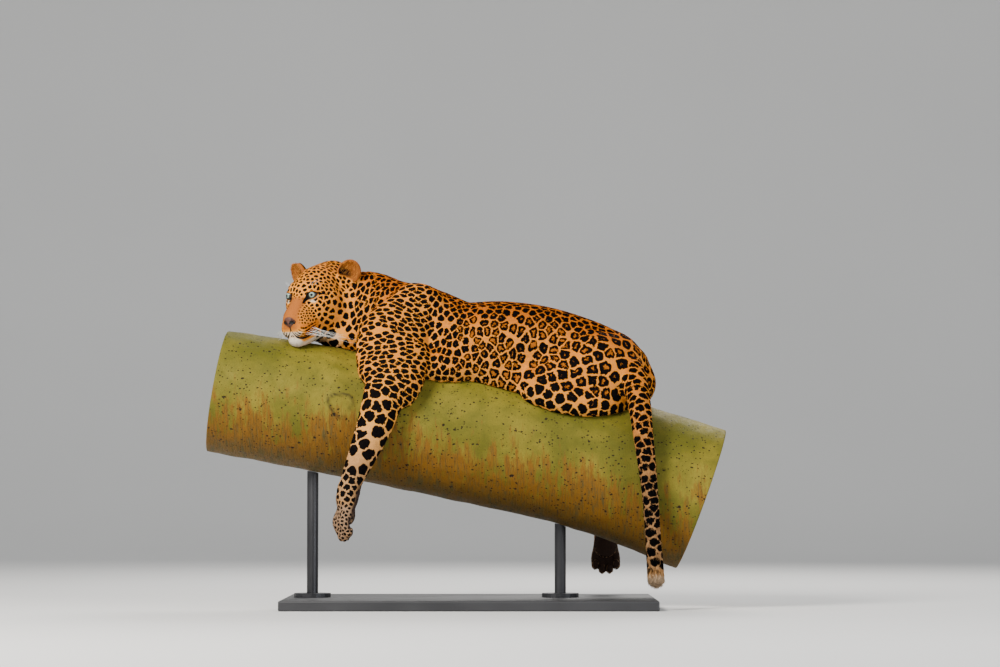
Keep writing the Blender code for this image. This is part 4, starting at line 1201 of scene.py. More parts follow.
def tuft_mesh(roots, lie, out, length, width, lift, shade, marks, values, flat):
    """Tufts as closed spikes of three sides: a base sunk in the skin around the root, and the tip at
    root + lie L cos(lift) + out L sin(lift)."""
    count = len(roots)
    half = np.cross(out, lie) * (0.5 * width)[:, None]
    sink = out * (0.15 * width + 0.0006)[:, None]
    tops = roots + lie * (length * np.cos(lift))[:, None] + out * (length * np.sin(lift))[:, None]
    corners = [roots - half - sink, roots + half - sink, roots + out * (0.30 * width)[:, None], tops]
    each = len(corners)
    points = np.stack(corners, 1)
    shape = np.array([(0, 1, 2), (1, 0, 3), (2, 1, 3), (0, 2, 3)])
    tip = np.array([0.0, 0.0, 0.0, 1.0])
    first = points[0] - points[0].mean(0)
    volume = sum(np.dot(first[a], np.cross(first[b], first[c])) for a, b, c in shape)
    if volume < 0:
        shape = shape[:, ::-1]
    faces = (np.arange(count)[:, None, None] * each + shape[None]).reshape(-1, 3)
    mesh = mesh_of("tufts", points.reshape(-1, 3), faces)
    store(mesh, "tip", np.tile(tip, count))
    store(mesh, "shade", np.repeat(shade, each))
    for name, (at_root, measure) in marks.items():
        given = np.repeat(at_root[:, None], each, 1)
        given[..., :2] += TUFT_FOLLOWS * np.einsum("tex,tmx->tem", points - roots[:, None], measure)
        store(mesh, name, given)
    for name, rows in values.items():
        store(mesh, name, np.repeat(rows, each, 0))
    # a small patch of the map for each tuft, with its root low and its tip high
    layer = mesh.uv_layers.new(name="OFBake")
    patch = TUFT_PATCH * np.stack([np.array([-1.0, 1.0, 0.0, 0.0]), 2 * tip - 1.0], 1)
    spread = np.clip(flat[:, None, :] + patch[None], 0, 1)
    layer.data.foreach_set("uv", spread[:, shape.ravel()].astype(np.float32).ravel())
    return mesh


def grow_coat(look, name, chosen, count, material, charts, seed):
    """One piece of the coat: tufts on the chosen triangles, lying with the hair."""
    points, triangles, normals, coat, area, marks, rows = dressed_skin()
    dense = (1.0 - np.clip(coat.bare + coat.leather, 0, 1)) / np.maximum(coat.length, 0.003) ** 1.1
    weight = area * chosen * dense[triangles].mean(1)
    face, share = tuft_roots(count, weight, seed)
    mixed = lambda given: np.einsum("tc,tcv->tv", share, given[triangles[face]])
    roots, out, lie = mixed(points), unit(mixed(normals)), mixed(coat.flow)
    lie = unit(lie - out * (lie * out).sum(1)[:, None])
    random = np.random.default_rng(seed + LENGTH_SEEDS)
    turn = 0.24 * random.standard_normal(count)
    lie = unit(lie + np.cross(out, lie) * turn[:, None])
    length = mixed(coat.length[:, None])[:, 0] * look.tuft_length * (0.75 + 0.5 * random.random(count))
    width = np.minimum(TUFT_WIDEST, length * TUFT_SLENDER) * look.tuft_width
    lift = np.radians(look.tuft_lift) * (0.5 + random.random(count))
    at_root = lambda given: np.einsum("tc,tcv->tv", share, given[face])
    marks = {key: (at_root(given), measure[face]) for key, (given, measure) in marks.items()}
    values = {key: mixed(given) for key, given in rows.items()}
    cup = mixed(coat.cup[:, None])[:, 0]
    hair = cup * (random.random(count) < 0.35)  # pale hairs in the ears
    values["zone"][:, 0] += 0.35 * hair
    # the pale hairs carry less of the painted shade in the ear's cup
    values["zone"][:, 2] *= 1 - 0.7 * hair
    values["face"][:, 1] *= 1 - 0.6 * hair
    lead = triangles[face, 0]
    flat = unwrap(coat.part[lead], coat.toes[lead], coat.ear_side[lead], coat.cup[lead], roots, charts)
    mesh = tuft_mesh(roots, lie, out, length, width, lift, random.random(count), marks, values, flat)
    return piece(name, mesh, "coat", material)


def arithmetic(operation, swapped=False):
    """A method that adds the Math node of one operator."""
    return lambda a, b: a.tree.math(operation, *((b, a) if swapped else (a, b)))


class Value:
    """An output in a node tree. Arithmetic with it adds Math nodes."""

    def __init__(self, tree, socket):
        self.tree, self.socket = tree, socket

    __add__, __radd__ = arithmetic("ADD"), arithmetic("ADD", True)
    __sub__, __rsub__ = arithmetic("SUBTRACT"), arithmetic("SUBTRACT", True)
    __mul__, __truediv__, __pow__ = (arithmetic(name) for name in ("MULTIPLY", "DIVIDE", "POWER"))

    def __abs__(self):
        return self.tree.math("ABSOLUTE", self)

    def held(self):
        """The same, kept between 0 and 1."""
        self.socket.node.use_clamp = True
        return self


class Tree:
    """Short words for adding nodes to a node tree. Each one that is named for a kind of node or for
    what it works out gives the new node's output."""

    def __init__(self, tree):
        self.tree = tree

    def node(self, kind, *given, **settings):
        """A node with its settings. Its first sockets are fed with what is given."""
        made = self.tree.nodes.new("ShaderNode" + kind)
        for name, value in settings.items():
            setattr(made, name, value)
        for value, socket in zip(given, made.inputs):
            self.put(value, socket)
        return made

    def put(self, value, socket):
        """Links a value to a socket, or sets the socket's own number, vector or colour."""
        if isinstance(value, Value):
            self.tree.links.new(value.socket, socket)
        elif value is not None:
            socket.default_value = (*value, 1) if socket.type == "RGBA" else value

    def math(self, operation, *given):
        """A Math node's result."""
        return Value(self, self.node("Math", *given, operation=operation).outputs[0])

    def vector(self, operation, *given):
        made = self.node("VectorMath", *given, operation=operation)
        return Value(self, made.outputs["Value" if operation in ("LENGTH", "DISTANCE") else "Vector"])

    def scaled(self, vector, scale):
        return self.vector("SCALE", vector, None, None, scale)

    def blend(self, share, a, b, kind="MIX"):
        """Two colours mixed."""
        gap = [None] * 5
        colours = dict(data_type="RGBA", blend_type=kind, clamp_factor=True)
        made = self.node("Mix", share, *gap, a, b, **colours)
        return Value(self, made.outputs[2])

    def between(self, value, low, high, start=0.0, end=1.0):
        """A smooth step from start, where the value is low, to end, where it is high."""
        ends = (low, high, start, end)
        made = self.node("MapRange", value, *ends, interpolation_type="SMOOTHSTEP")
        return Value(self, made.outputs[0])

    def noise(self, place, scale, detail=2.0, roughness=0.5, output=0):
        """Noise with this many cells in a metre, or in a unit of the place."""
        return Value(self, self.node("TexNoise", place, None, scale, detail, roughness).outputs[output])

    def place(self):
        """The shaded point in the object's own axes."""
        return Value(self, self.node("TexCoord").outputs["Object"])

    def attribute(self, name, output="Color"):
        return Value(self, self.node("Attribute", attribute_name=name).outputs[output])

    def share(self, name):
        """An attribute that is a single number."""
        return self.attribute(name, "Fac")

    def parts(self, vector):
        return [Value(self, part) for part in self.node("SeparateXYZ", vector).outputs]

    def join(self, x, y=0.0, z=0.0):
        return Value(self, self.node("CombineXYZ", x, y, z).outputs[0])

    def bump(self, height, distance, strength):
        return Value(self, self.node("Bump", strength, distance, None, height).outputs[0])


def material(name, **constants):
    """A material, its tree and its shader's inputs, with the constants set on them."""
    made = bpy.data.materials.new(name)
    made.use_nodes = True
    inputs = made.node_tree.nodes["Principled BSDF"].inputs
    for key, value in constants.items():
        inputs[key.replace("_", " ")].default_value = value
    return made, Tree(made.node_tree), inputs


def node_group(name, inputs, outputs, build):
    """A shader node group. Inputs are given as name and default value, a vector's as None or three
    numbers, and outputs as name and kind. build gets the tree and inputs and returns the outputs."""
    tree = bpy.data.node_groups.new(name, "ShaderNodeTree")
    for label, value in inputs.items():
        kind = "NodeSocketFloat" if isinstance(value, float) else "NodeSocketVector"
        socket = tree.interface.new_socket(label, in_out="INPUT", socket_type=kind)
        if value is not None:
            socket.default_value = value
    for label, kind in outputs.items():
        tree.interface.new_socket(label, in_out="OUTPUT", socket_type="NodeSocket" + kind)
    come, go = tree.nodes.new("NodeGroupInput"), tree.nodes.new("NodeGroupOutput")
    short = Tree(tree)
    given = {label: Value(short, come.outputs[label]) for label in inputs}
    for label, value in build(short, given).items():
        short.put(value, go.inputs[label])
    return tree


def use_group(tree, made, values):
    """Places a node group, with its inputs given by name."""
    placed = tree.node("Group", node_tree=made)
    for key, value in values.items():
        tree.put(value, placed.inputs[key])
    return {out.name: Value(tree, out) for out in placed.outputs}


MARKS = {"Near": None, "Far": None, "Ring": 0.0, "Next": 0.0, "Place": None}
ZONES = {"Zone": None, "Spots": 1.0, "Face": None, "Lines": (3.0, 3.0, -3.0), "Along": -8.0}
FIRST_ROW, ROW_PITCH = 0.85, 0.82  # height over the lip and step of the rows of dashes, in hundredths


def coat_markings(look):
    """Node group: black of the spots, the tawny middles of the rosettes and the ground between.

    A spot fills its cell up to a gap along the border with the next cell, found from the places
    in the two nearest cells, and is rounded by the distance from its middle. Both are notched
    where noise around the spot is low, which gives it lobes. In a rosette only a band inside the
    border is black, open where more of that noise is low."""

    def build(tree, given):
        near, far = tree.parts(given["Near"]), tree.parts(given["Far"])
        wobble = tree.noise(given["Place"], 55.0, output="Color")
        wobble = tree.vector("SUBTRACT", wobble, (0.5, 0.5, 0.5))
        wobble = tree.scaled(tree.vector("MULTIPLY", wobble, (1.0, 1.0, 0.0)), look.raggedness)
        here = tree.vector("ADD", tree.join(near[0], near[1]), wobble)
        there = tree.vector("ADD", tree.join(far[0], far[1]), wobble)
        from_here, from_there = tree.vector("LENGTH", here), tree.vector("LENGTH", there)
        over = tree.math("LESS_THAN", from_there, from_here)  # a tuft that reaches the next cell
        apart = tree.math("MAXIMUM", tree.vector("DISTANCE", here, there), 0.4)
        border = abs(from_there**2.0 - from_here**2.0) / (apart * 2.0)
        ring, gap = given["Ring"], far[2]
        chance = near[2] + over * (given["Next"] - near[2])
        here = tree.vector("ADD", here, tree.scaled(tree.vector("SUBTRACT", there, here), over))
        from_here = tree.math("MINIMUM", from_here, from_there)
        turned = tree.scaled(tree.vector("NORMALIZE", here), 0.85)
        around = tree.vector("ADD", turned, tree.join(0.0, 0.0, chance * 40.0))
        broken = tree.noise(around, 1.3, 1.0)
        notch = tree.math("MAXIMUM", 0.45 - tree.noise(around, 1.9, 0.0), 0.0) * 0.54
        edge = (gap + (chance - 0.5) * 0.05) + (notch - 0.010)
        reach = (ring * 0.06 + chance * 0.13) + (0.59 - gap * 1.4) - notch
        # distance from the spot's own rounded outline, inwards
        depth = tree.math("SMOOTH_MIN", border - edge, reach - from_here, 0.24)
        fill = tree.between(depth, 0.0, 0.035)
        band = (0.270 + (broken - 0.50) * 0.75) + (1.0 - ring) * 0.5
        open_middle = tree.between(depth, band, band + 0.04)
        return {
            "Black": (fill * (1.0 - open_middle)).held(),
            "Middle": (fill * open_middle).held(),
            "Net": (1.0 - fill).held(),
        }

    return node_group("coat_markings", MARKS, dict.fromkeys(("Black", "Middle", "Net"), "Float"), build)


def coat_colours(look, markings):
    """Node group: the coat's colour from the markings and the zones of the body."""

    def build(tree, given):
        marks = use_group(tree, markings, {key: given[key] for key in MARKS})
        zone, face, lines = (tree.parts(given[name]) for name in ("Zone", "Face", "Lines"))
        patchy = tree.noise(given["Place"], 22.0, 3.0, 0.6)
        ground = tree.blend(zone[1] * 0.9, look.gold, look.deep_gold)
        ground = tree.blend(tree.between(patchy, 0.35, 0.7, 0.0, 0.30), ground, look.deep_gold)
        edge = (marks["Net"] * (0.40 - zone[1] * 0.45)).held() * given["Spots"]
        ground = tree.blend(tree.math("MAXIMUM", zone[0], edge), ground, look.cream)
        ground = tree.blend(tree.between(zone[0], 0.80, 1.0), ground, look.white)
        ground = tree.blend(face[2], ground, look.grey)
        ground = tree.blend(face[1], ground, look.rust)
        ground = tree.blend(marks["Middle"] * given["Spots"] * 0.85, ground, look.rosette)
        # the zone's dark part: dark soles, black backs of the ears, and painted shade inside the ears
        black = tree.math("MAXIMUM", marks["Black"] * given["Spots"], zone[2]).held()
        # rows of dashes on the whisker pads, level with the lips
        along, step = given["Along"], lines[2] - FIRST_ROW
        nearest = tree.math("ROUND", step / ROW_PITCH)
        off = abs(step - nearest * ROW_PITCH)
        dash = tree.noise(tree.join(along * 2.6, nearest * 7.3), 1.0, 0.0)
        thick = tree.between(dash, 0.34, 0.56, 0.04, 0.22)
        row = tree.between(off - thick, 0.0, 0.04, 1.0, 0.0)
        for value, low, high, *ends in (
            (lines[2], 0.30, 0.42),
            (lines[2], 3.65, 3.85, 1.0, 0.0),
            (along, 2.8, 3.6),
            (along, 9.4, 10.4, 1.0, 0.0),
        ):
            row = row * tree.between(value, low, high, *ends)
        colour = tree.blend(tree.math("MAXIMUM", black, row), ground, look.black)
        colour = tree.blend(face[0], colour, look.leather)
        colour = tree.blend(tree.between(lines[1], -0.02, 0.06, 1.0, 0.0), colour, look.nose)
        line = tree.between(lines[0] + patchy * 0.04, 0.0, 0.07, 1.0, 0.0)
        return {"Colour": tree.blend(line, colour, look.black)}

    return node_group("coat_colours", {**MARKS, **ZONES}, {"Colour": "Color"}, build)


def coat_material(name, colours, tufted):
    """The skin's or a tuft's finish: the markings, with the tufts' own tone and painted root shade."""
    made, tree, inputs = material(name, Roughness=0.90, Specular_IOR_Level=0.06)
    place = tree.place()
    given = {label: tree.attribute(label.lower()) for label in ("Near", "Far", "Zone", "Face", "Lines")}
    for label, source in (("Ring", "near"), ("Next", "far"), ("Spots", "zone"), ("Along", "lines")):
        given[label] = tree.attribute(source, "Alpha")
    colour = use_group(tree, colours, {**given, "Place": place})["Colour"]
    if tufted:
        # painted shade between the hairs: each tuft darker at its root and lighter at its tip, times
        # its own random tone
        light = (tree.share("tip") * 0.34 + tree.share("shade") * 0.34) + 0.70
        colour = tree.blend(1.0, colour, tree.join(light, light, light), "MULTIPLY")
    else:
        fine = tree.noise(place, 900.0, 2.0)
        colour = tree.blend(tree.between(fine, 0.3, 0.7, 0.0, 0.25), colour, (0.02, 0.012, 0.006))
        bare = tree.attribute("face", "Alpha")
        pebbles = Value(tree, tree.node("TexVoronoi", place, None, 900.0).outputs["Distance"])
        leather = tree.between(tree.parts(tree.attribute("lines"))[1], -0.02, 0.06, 1.0, 0.0)
        leather = tree.math("MAXIMUM", leather, tree.parts(tree.attribute("face"))[0])
        tree.put(tree.bump(fine * 0.5 + pebbles * leather, 0.0006, 0.6), inputs["Normal"])
        tree.put(tree.between(bare, 0.2, 0.9, 0.90, 0.48), inputs["Roughness"])
        tree.put(tree.between(bare, 0.2, 0.9, 0.06, 0.25), inputs["Specular IOR Level"])
    tree.put(colour, inputs["Base Color"])
    return made


def eye_material(look):
    """A wet ball: pupil, iris with streaks and a dark rim, and a brown-black white of the eye."""
    wet = dict(Coat_Weight=0.6, Coat_Roughness=0.02)
    made, tree, inputs = material("eye", Roughness=0.35, Specular_IOR_Level=0.1, **wet)
    away, turn = tree.share("from_pupil"), tree.share("turn")
    streaks = tree.noise(tree.join(turn * 9.0, away * 2.0), 4.0, 3.0)
    iris = tree.blend(tree.between(streaks, 0.3, 0.7), look.iris, look.iris_streak)
    iris = tree.blend(tree.between(away, 0.16, 0.34, 0.75, 0.0), iris, look.iris_middle)
    iris = tree.blend(tree.between(away, 0.52, 0.67), iris, (0.012, 0.014, 0.010))
    ball = tree.blend(tree.between(away, 0.69, 0.75), iris, (0.035, 0.018, 0.010))
    pupil = tree.between(away, look.pupil, look.pupil + 0.025, 1.0, 0.0)
    tree.put(tree.blend(pupil, ball, (0.002, 0.002, 0.002)), inputs["Base Color"])
    return made


def whisker_material():
    """Horn-white hair, paler towards its tip."""
    made, tree, inputs = material("whisker", Roughness=0.3, Coat_Weight=0.3)
    tone = tree.blend(tree.share("along"), (0.74, 0.70, 0.62), (0.92, 0.91, 0.88))
    tree.put(tone, inputs["Base Color"])
    return made


# The bark's pits of three sizes: cells in a metre, a pit's size in its cell, share of cells left out
BARK_PITS = ((30.0, 0.12, 0.80), (75.0, 0.22, 0.60), (150.0, 0.32, 0.50))


def bark_material(look):
    """Smooth powdery bark: yellow-green above, orange-brown dust and painted shade below, dark pits and
    fine seams.
    """
    made, tree, inputs = material("bark", Specular_IOR_Level=0.15)
    place, below = tree.place(), tree.share("below")
    stretched = lambda *scale: tree.vector("MULTIPLY", place, scale)
    broad, fine = tree.noise(place, 5.0, 4.0, 0.6), tree.noise(place, 260.0, 3.0, 0.6)
    streak = tree.noise(stretched(1.0, 0.22, 0.22), 55.0, 5.0, 0.7)
    grain = tree.noise(stretched(1.0, 0.10, 0.07), 260.0, 3.0, 0.6)
    colour = tree.blend(tree.between(broad, 0.35, 0.68), look.green, look.yellow)
    dusty = (below * 1.1 + (streak - 0.5) * 1.5) + (broad - 0.5) * 1.1
    colour = tree.blend(tree.between(dusty, 0.50, 0.85, 0.0, 0.95), colour, look.dust)
    grooves = tree.between(grain, 0.50, 0.64) * tree.between(dusty, 0.40, 0.90)
    for dark in (
        tree.between(dusty * streak, 0.50, 0.75, 0.0, 0.8),
        tree.between(fine, 0.40, 0.75, 0.0, 0.30),
        grooves * 0.55,
        # painted shade along the branch's underside
        tree.between(below, 0.80, 1.0, 0.0, 0.55),
    ):
        colour = tree.blend(dark, colour, look.seam)
    ragged = (tree.noise(place, 240.0, 1.0) - 0.5) * 0.28
    warp = tree.scaled(tree.noise(place, 60.0, 1.0, output="Color"), 0.006)
    pits = []
    for scale, size, part in BARK_PITS:
        shifted = tree.vector("ADD", stretched(0.75, 1.0, 1.0), warp)
        cells = tree.node("TexVoronoi", shifted, None, scale).outputs
        red, green, _ = tree.parts(Value(tree, cells["Color"]))
        gap = (Value(tree, cells["Distance"]) - green * size) + ragged
        pits.append(tree.between(gap, 0.0, 0.05, 1.0, 0.0) * tree.between(red, part, part + 0.02))
    pit = tree.math("MAXIMUM", tree.math("MAXIMUM", pits[0], pits[1]), pits[2]).held()
    colour = tree.blend(pit * 0.96, colour, look.pit)
    tree.put(tree.blend(tree.share("scar") * 0.8, colour, look.pit), inputs["Base Color"])
    tree.put(tree.between(fine, 0.3, 0.8, 0.55, 0.85), inputs["Roughness"])
    height = ((fine * 0.25 - pit * 0.9) + streak * 0.35) - grooves * 0.4
    tree.put(tree.bump(height, 0.003, 0.7), inputs["Normal"])
    return made


def sawn_material(look):
    """The branch's cut ends: pale wood with growth rings, a darker heart and fine checks."""
    made, tree, inputs = material("sawn_wood", Roughness=0.7)
    place, away = tree.place(), tree.share("from_heart")
    uneven = away + tree.noise(place, 7.0, 4.0) * 0.10
    uneven = uneven + tree.noise(tree.join(away), 9.0, 2.0) * 0.12
    bands = dict(wave_type="BANDS", bands_direction="X", wave_profile="SAW")
    rings = Value(tree, tree.node("TexWave", tree.join(uneven), 7.0, 0.0, **bands).outputs["Fac"])
    wood = tree.blend(tree.between(rings, 0.0, 1.0), look.sapwood, look.ring_wood)
    wood = tree.blend(tree.between(away, 0.10, 0.55, 0.55, 0.0), wood, look.ring_wood)
    grain = tree.noise(place, 420.0, 2.0)
    wood = tree.blend(tree.between(grain, 0.3, 0.75, 0.0, 0.35), wood, look.seam)
    tree.put(wood, inputs["Base Color"])
    tree.put(tree.bump(grain, 0.0008, 0.5), inputs["Normal"])
    return made


def stand_material(name, colour, rough, metal):
    """Satin paint or steel with a little dust and wear."""
    made, tree, inputs = material(name, Metallic=metal)
    place = tree.place()
    cloud, grit = tree.noise(place, 7.0, 4.0), tree.noise(place, 350.0, 2.0)
    worn = [min(1, 1.8 * c + 0.01) for c in colour]
    tone = tree.blend(tree.between(cloud, 0.3, 0.75, 0.0, 0.35), colour, worn)
    tree.put(tone, inputs["Base Color"])
    tree.put(tree.between(cloud, 0.3, 0.8, rough, rough + 0.18), inputs["Roughness"])
    tree.put(tree.bump(grit, 0.0004, 0.35), inputs["Normal"])
    return made


def head_point(*point):
    """A point that is given in the head's axes, in the scene's."""
    return np.array(HEAD_PLACE @ Vector(point))


def full_turn(sides):
    """Even angles all around."""
    return np.arange(sides) * 2 * math.pi / sides


def tube(name, path, radius, sides):
    """A closed tube: rings of points around a path, with a radius for each of its points, and a
    single point at each end."""
    path = np.asarray(path, float)
    along = unit(np.gradient(path, axis=0))
    steep = np.abs(along[:, 2:]) > 0.8
    side = unit(np.cross(along, np.where(steep, (1.0, 0.0, 0.0), (0.0, 0.0, 1.0))))
    up, turn = np.cross(side, along), full_turn(sides)
    ring = np.cos(turn)[None, :, None] * side[:, None] + np.sin(turn)[None, :, None] * up[:, None]
    points = path[:, None] + ring * np.broadcast_to(radius, (len(path),))[:, None, None]
    return closed_rings(name, points, path[0], path[-1])


def closed_rings(name, points, first, last):
    """A mesh through rings of points (rings, sides, 3), closed by a fan to a point at each end."""
    rings, sides, _ = points.shape
    number = np.arange(rings * sides).reshape(rings, sides)
    after = np.roll(number, -1, axis=1)
    quads = np.stack([number[:-1], number[1:], after[1:], after[:-1]], -1).reshape(-1, 4)
    triangles = np.concatenate([quads[:, (0, 1, 2)], quads[:, (0, 2, 3)]])
    start, end = rings * sides, rings * sides + 1
    caps = [
        np.stack([np.full(sides, start), number[0], after[0]], 1),
        np.stack([np.full(sides, end), after[-1], number[-1]], 1),
    ]
    triangles = np.concatenate([triangles, *caps])
    every = np.concatenate([points.reshape(-1, 3), [first], [last]])
    a, b, c = (every[triangles[:, k]] - every.mean(0) for k in range(3))
    if np.einsum("tx,tx->", a, np.cross(b, c)) < 0:
        triangles = triangles[:, ::-1]
    return mesh_of(name, every, triangles)


def joined(name, meshes):
    """Several meshes as one, with their attributes."""
    bm = bmesh.new()
    for mesh in meshes:
        bm.from_mesh(mesh)
    out = bpy.data.meshes.new(name)
    bm.to_mesh(out)
    bm.free()
    out.shade_smooth()
    return out


CORNEA = 0.0011  # how far the cornea stands out of the ball
EYE_RINGS, EYE_SIDES = 48, 56


def eye_mesh(hand, radius):
    """A ball around the eye's own look, with the cornea a little proud in front: the distance from
    its middle is the radius plus a bulge that dies out at 36 degrees from the look."""
    look = np.array(HEAD_PLACE.to_3x3()) @ np.array(eye_axis(hand))
    place = facing(head_point(0.0, hand * EYE_SPREAD, 0.0), look)
    tilt = np.linspace(0.0, math.pi, EYE_RINGS + 2)[1:-1]
    size = radius + CORNEA * (1 - ramp(tilt, 0.15, 0.72))
    away, around = np.meshgrid(tilt, full_turn(EYE_SIDES), indexing="ij")
    local = np.stack([np.cos(away), np.sin(away) * np.cos(around), np.sin(away) * np.sin(around)], -1)
    axes, middle = np.array(place.to_3x3()), np.array(place.translation)
    points = (local * size[:, None, None]) @ axes.T + middle
    front, rear = middle + axes[:, 0] * (radius + CORNEA), middle - axes[:, 0] * radius
    mesh = closed_rings("eye", points, front, rear)
    store(mesh, "from_pupil", np.concatenate([away.ravel(), [0.0, math.pi]]))
    store(mesh, "turn", np.concatenate([np.abs(around.ravel() - math.pi), [0.0, 0.0]]))
    return mesh


# Roots of the left whiskers in the head's axes, and their share of the greatest length: rows on the
# pad from the lip up, each from front to back, and a few over the eye
PAD_WHISKERS = [
    (0.052 - 0.013 * k - 0.003 * row, 0.0335 + 0.0025 * k, -0.109 + 0.0062 * row, 0.55 + 0.16 * k)
    for row in range(4)
    for k in range(4)
    if k + row < 6 and (row, k) != (3, 0)
]
BROW_WHISKERS = [(0.006, 0.034, 0.026, 0.26), (0.001, 0.040, 0.027, 0.34), (-0.004, 0.047, 0.025, 0.28)]
WHISKER_SEED, WHISKER_STEPS, WHISKER_SIDES = 4, 14, 6
WHISKER_RADIUS = 0.00050  # at the root of the longest


def whisker_meshes(reach):
    """Long white hairs on each pad and over each eye, curving back and down. A hair's middle line
    is root + length (t out + 0.75 t^2 bend), and it thins along it to a fifth of its radius."""
    random = np.random.default_rng(WHISKER_SEED)
    axes, t = np.array(HEAD_PLACE.to_3x3()), np.linspace(0.0, 1.0, WHISKER_STEPS)
    made = []
    for hand in (-1, 1):
        for number, (u, v, w, share) in enumerate(PAD_WHISKERS + BROW_WHISKERS):
            chance = random.random(4)
            if number < len(PAD_WHISKERS):
                out = (0.10 + 0.35 * chance[1], 0.95, -0.12 - 0.35 * chance[2])
                bend = (-0.95 - 0.3 * chance[3], 0.05, -0.28 + 0.30 * chance[1])
            else:
                out, bend = (0.15, 0.60, 0.95), (-0.55, 0.10, -0.55)
            out, bend = unit(np.array(out)) * (1, hand, 1), np.array(bend) * (1, hand, 1)
            length = reach * share * (0.8 + 0.35 * chance[0])
            curve = t[:, None] * out + (t**2)[:, None] * 0.75 * bend
            path = (np.array((u, hand * v, w)) + length * curve) @ axes.T + np.array(EYES_MIDDLE)
            radius = WHISKER_RADIUS * (1 - 0.80 * t) * (0.4 + 0.6 * share)
            mesh = tube("whisker", path, radius, WHISKER_SIDES)
            store(mesh, "along", np.concatenate([np.repeat(t, WHISKER_SIDES), [0.0, 1.0]]))
            made.append(mesh)
    return made


def waves(points, size, seed, terms=24):
    """Smooth noise between about -1 and 1: a sum of sine waves in random directions."""
    random = np.random.default_rng(seed)
    direction = unit(random.standard_normal((terms, 3)))
    direction = direction * (0.6 + 0.8 * random.random((terms, 1))) * 2 * math.pi / size
    total = np.zeros(points.shape[:-1])
    for wave, start in zip(direction, random.random(terms) * 2 * math.pi):
        total += np.sin(points @ wave + start)
    return total * math.sqrt(2.0 / terms) * 0.6


BRANCH_STEPS, BRANCH_SIDES, END_RINGS = 40, 180, 14
ARRIS = 0.0015  # how much the bark's ends stand back from the sawn faces
SCAR_MIDDLE, SCAR_RADIUS, SCAR_RISE = (-0.378, -0.19, 0.600), 0.034, 0.0032


def branch_shape(rough):
    """A round tube along the branch's middle line with a fine uneven surface and sawn ends.

    Each ring's radius is the branch's own there, plus two sizes of smooth noise, plus a curled
    scar's raised rim. The ends are discs with a rounded arris. Gives the mesh, and 1 for the
    triangles of the sawn ends."""
    rows = between([(x, 0.0, z, r) for x, z, r in BRANCH_LINE], BRANCH_STEPS)
    line, radius = rows[:, :3], rows[:, 3]
    along = unit(np.gradient(line, axis=0))
    above = np.cross(along, ACROSS)
    turn = full_turn(BRANCH_SIDES)[None, :, None]
    ring = np.cos(turn) * np.asarray(ACROSS) + np.sin(turn) * above[:, None]
    points = line[:, None] + ring * radius[:, None, None]
    height = 0.0014 * waves(points, 0.16, 1) + 0.0007 * waves(points, 0.045, 2) - 0.0012
    scar = curled_scar(points)
    points = points + ring * (height * rough + SCAR_RISE * scar)[..., None]
    caps, hearts = [], []
    for row, way in ((0, -1.0), (-1, 1.0)):
        middle, spokes = line[row], points[row] - line[row]
        disc = middle + spokes * np.linspace(0.06, 1.0, END_RINGS)[:, None, None]
        disc[-1] = middle + spokes * 0.992
        points[row] = points[row] - along[row] * way * ARRIS
        caps.append(disc[:: -int(way)])
        hearts.append(np.linalg.norm(caps[-1] - middle, axis=-1) / radius[row])
    mesh = closed_rings("branch", np.concatenate([caps[0], points, caps[1]]), line[0], line[-1])

    def whole(bark, end, middles=0.0):
        """A measure over the first end, the bark, the last end and the middles of the two ends."""
        first, last = (np.broadcast_to(part, hearts[0].shape).ravel() for part in end)
        return np.concatenate([first, bark.ravel(), last, [middles, middles]])

    store(mesh, "below", whole(0.5 - 0.5 * ring[..., 2], (0.5, 0.5)))
    store(mesh, "scar", whole(scar, (0.0, 0.0)))
    store(mesh, "from_heart", whole(np.ones(scar.shape), hearts))
    corners = read(mesh.polygons, "vertices", 3, np.int32)
    return mesh, whole(np.zeros(scar.shape), (1.0, 1.0), 1.0)[corners].min(1)


def curled_scar(points):
    """1 along a curled ridge on the near side, where a twig once grew, and 0 away from it."""
    across = points - np.array(SCAR_MIDDLE)
    radius = np.hypot(across[..., 0], across[..., 2])
    angle = np.arctan2(across[..., 2], across[..., 0])
    ring = np.exp(-(((radius - SCAR_RADIUS - 0.004 * np.sin(3 * angle)) / 0.0042) ** 2))
    gap = 1.0 - 0.85 * np.exp(-(((angle + 0.9) / 0.6) ** 2))
    return ring * gap * (points[..., 1] < 0)


def area_light(name, place, target, size, watts, colour):
    """A round lamp of this diameter at a place, turned to a target."""
    light = bpy.data.lights.new(name, "AREA")
    light.shape, light.size, light.energy, light.color = "DISK", size, watts, colour
    obj = bpy.data.objects.new(name, light)
    obj.location = place
    obj.rotation_euler = (Vector(target) - Vector(place)).to_track_quat("-Z", "Y").to_euler()
    bpy.context.scene.collection.objects.link(obj)


def floor_mesh():
    """A floor that turns up into a backdrop behind: a profile in y and z drawn along x."""
    near, far, wide, top, bend = -14.0, 6.0, 16.0, 12.0, 4.0
    turn = np.linspace(0.0, math.pi / 2, 24)[1:]
    curve = [(far + bend * math.sin(t), bend - bend * math.cos(t)) for t in turn]
    profile = [(near, 0.0), (far, 0.0), *curve, (far + bend, top)]
    points = np.array([(x, y, z) for y, z in profile for x in (-wide, wide)])
    k = np.arange(len(profile) - 1)[:, None] * 2
    return mesh_of("floor", points, k + np.array((0, 1, 3, 2)))


# The photograph's view: from this far away, and from 3 degrees below level
VIEW_MIDDLE, VIEW_DISTANCE, VIEW_TILT = (0.09, 0.0, 0.8185), 9.0, -3.0
SENSOR, FARTHEST = 36.0, 60.0


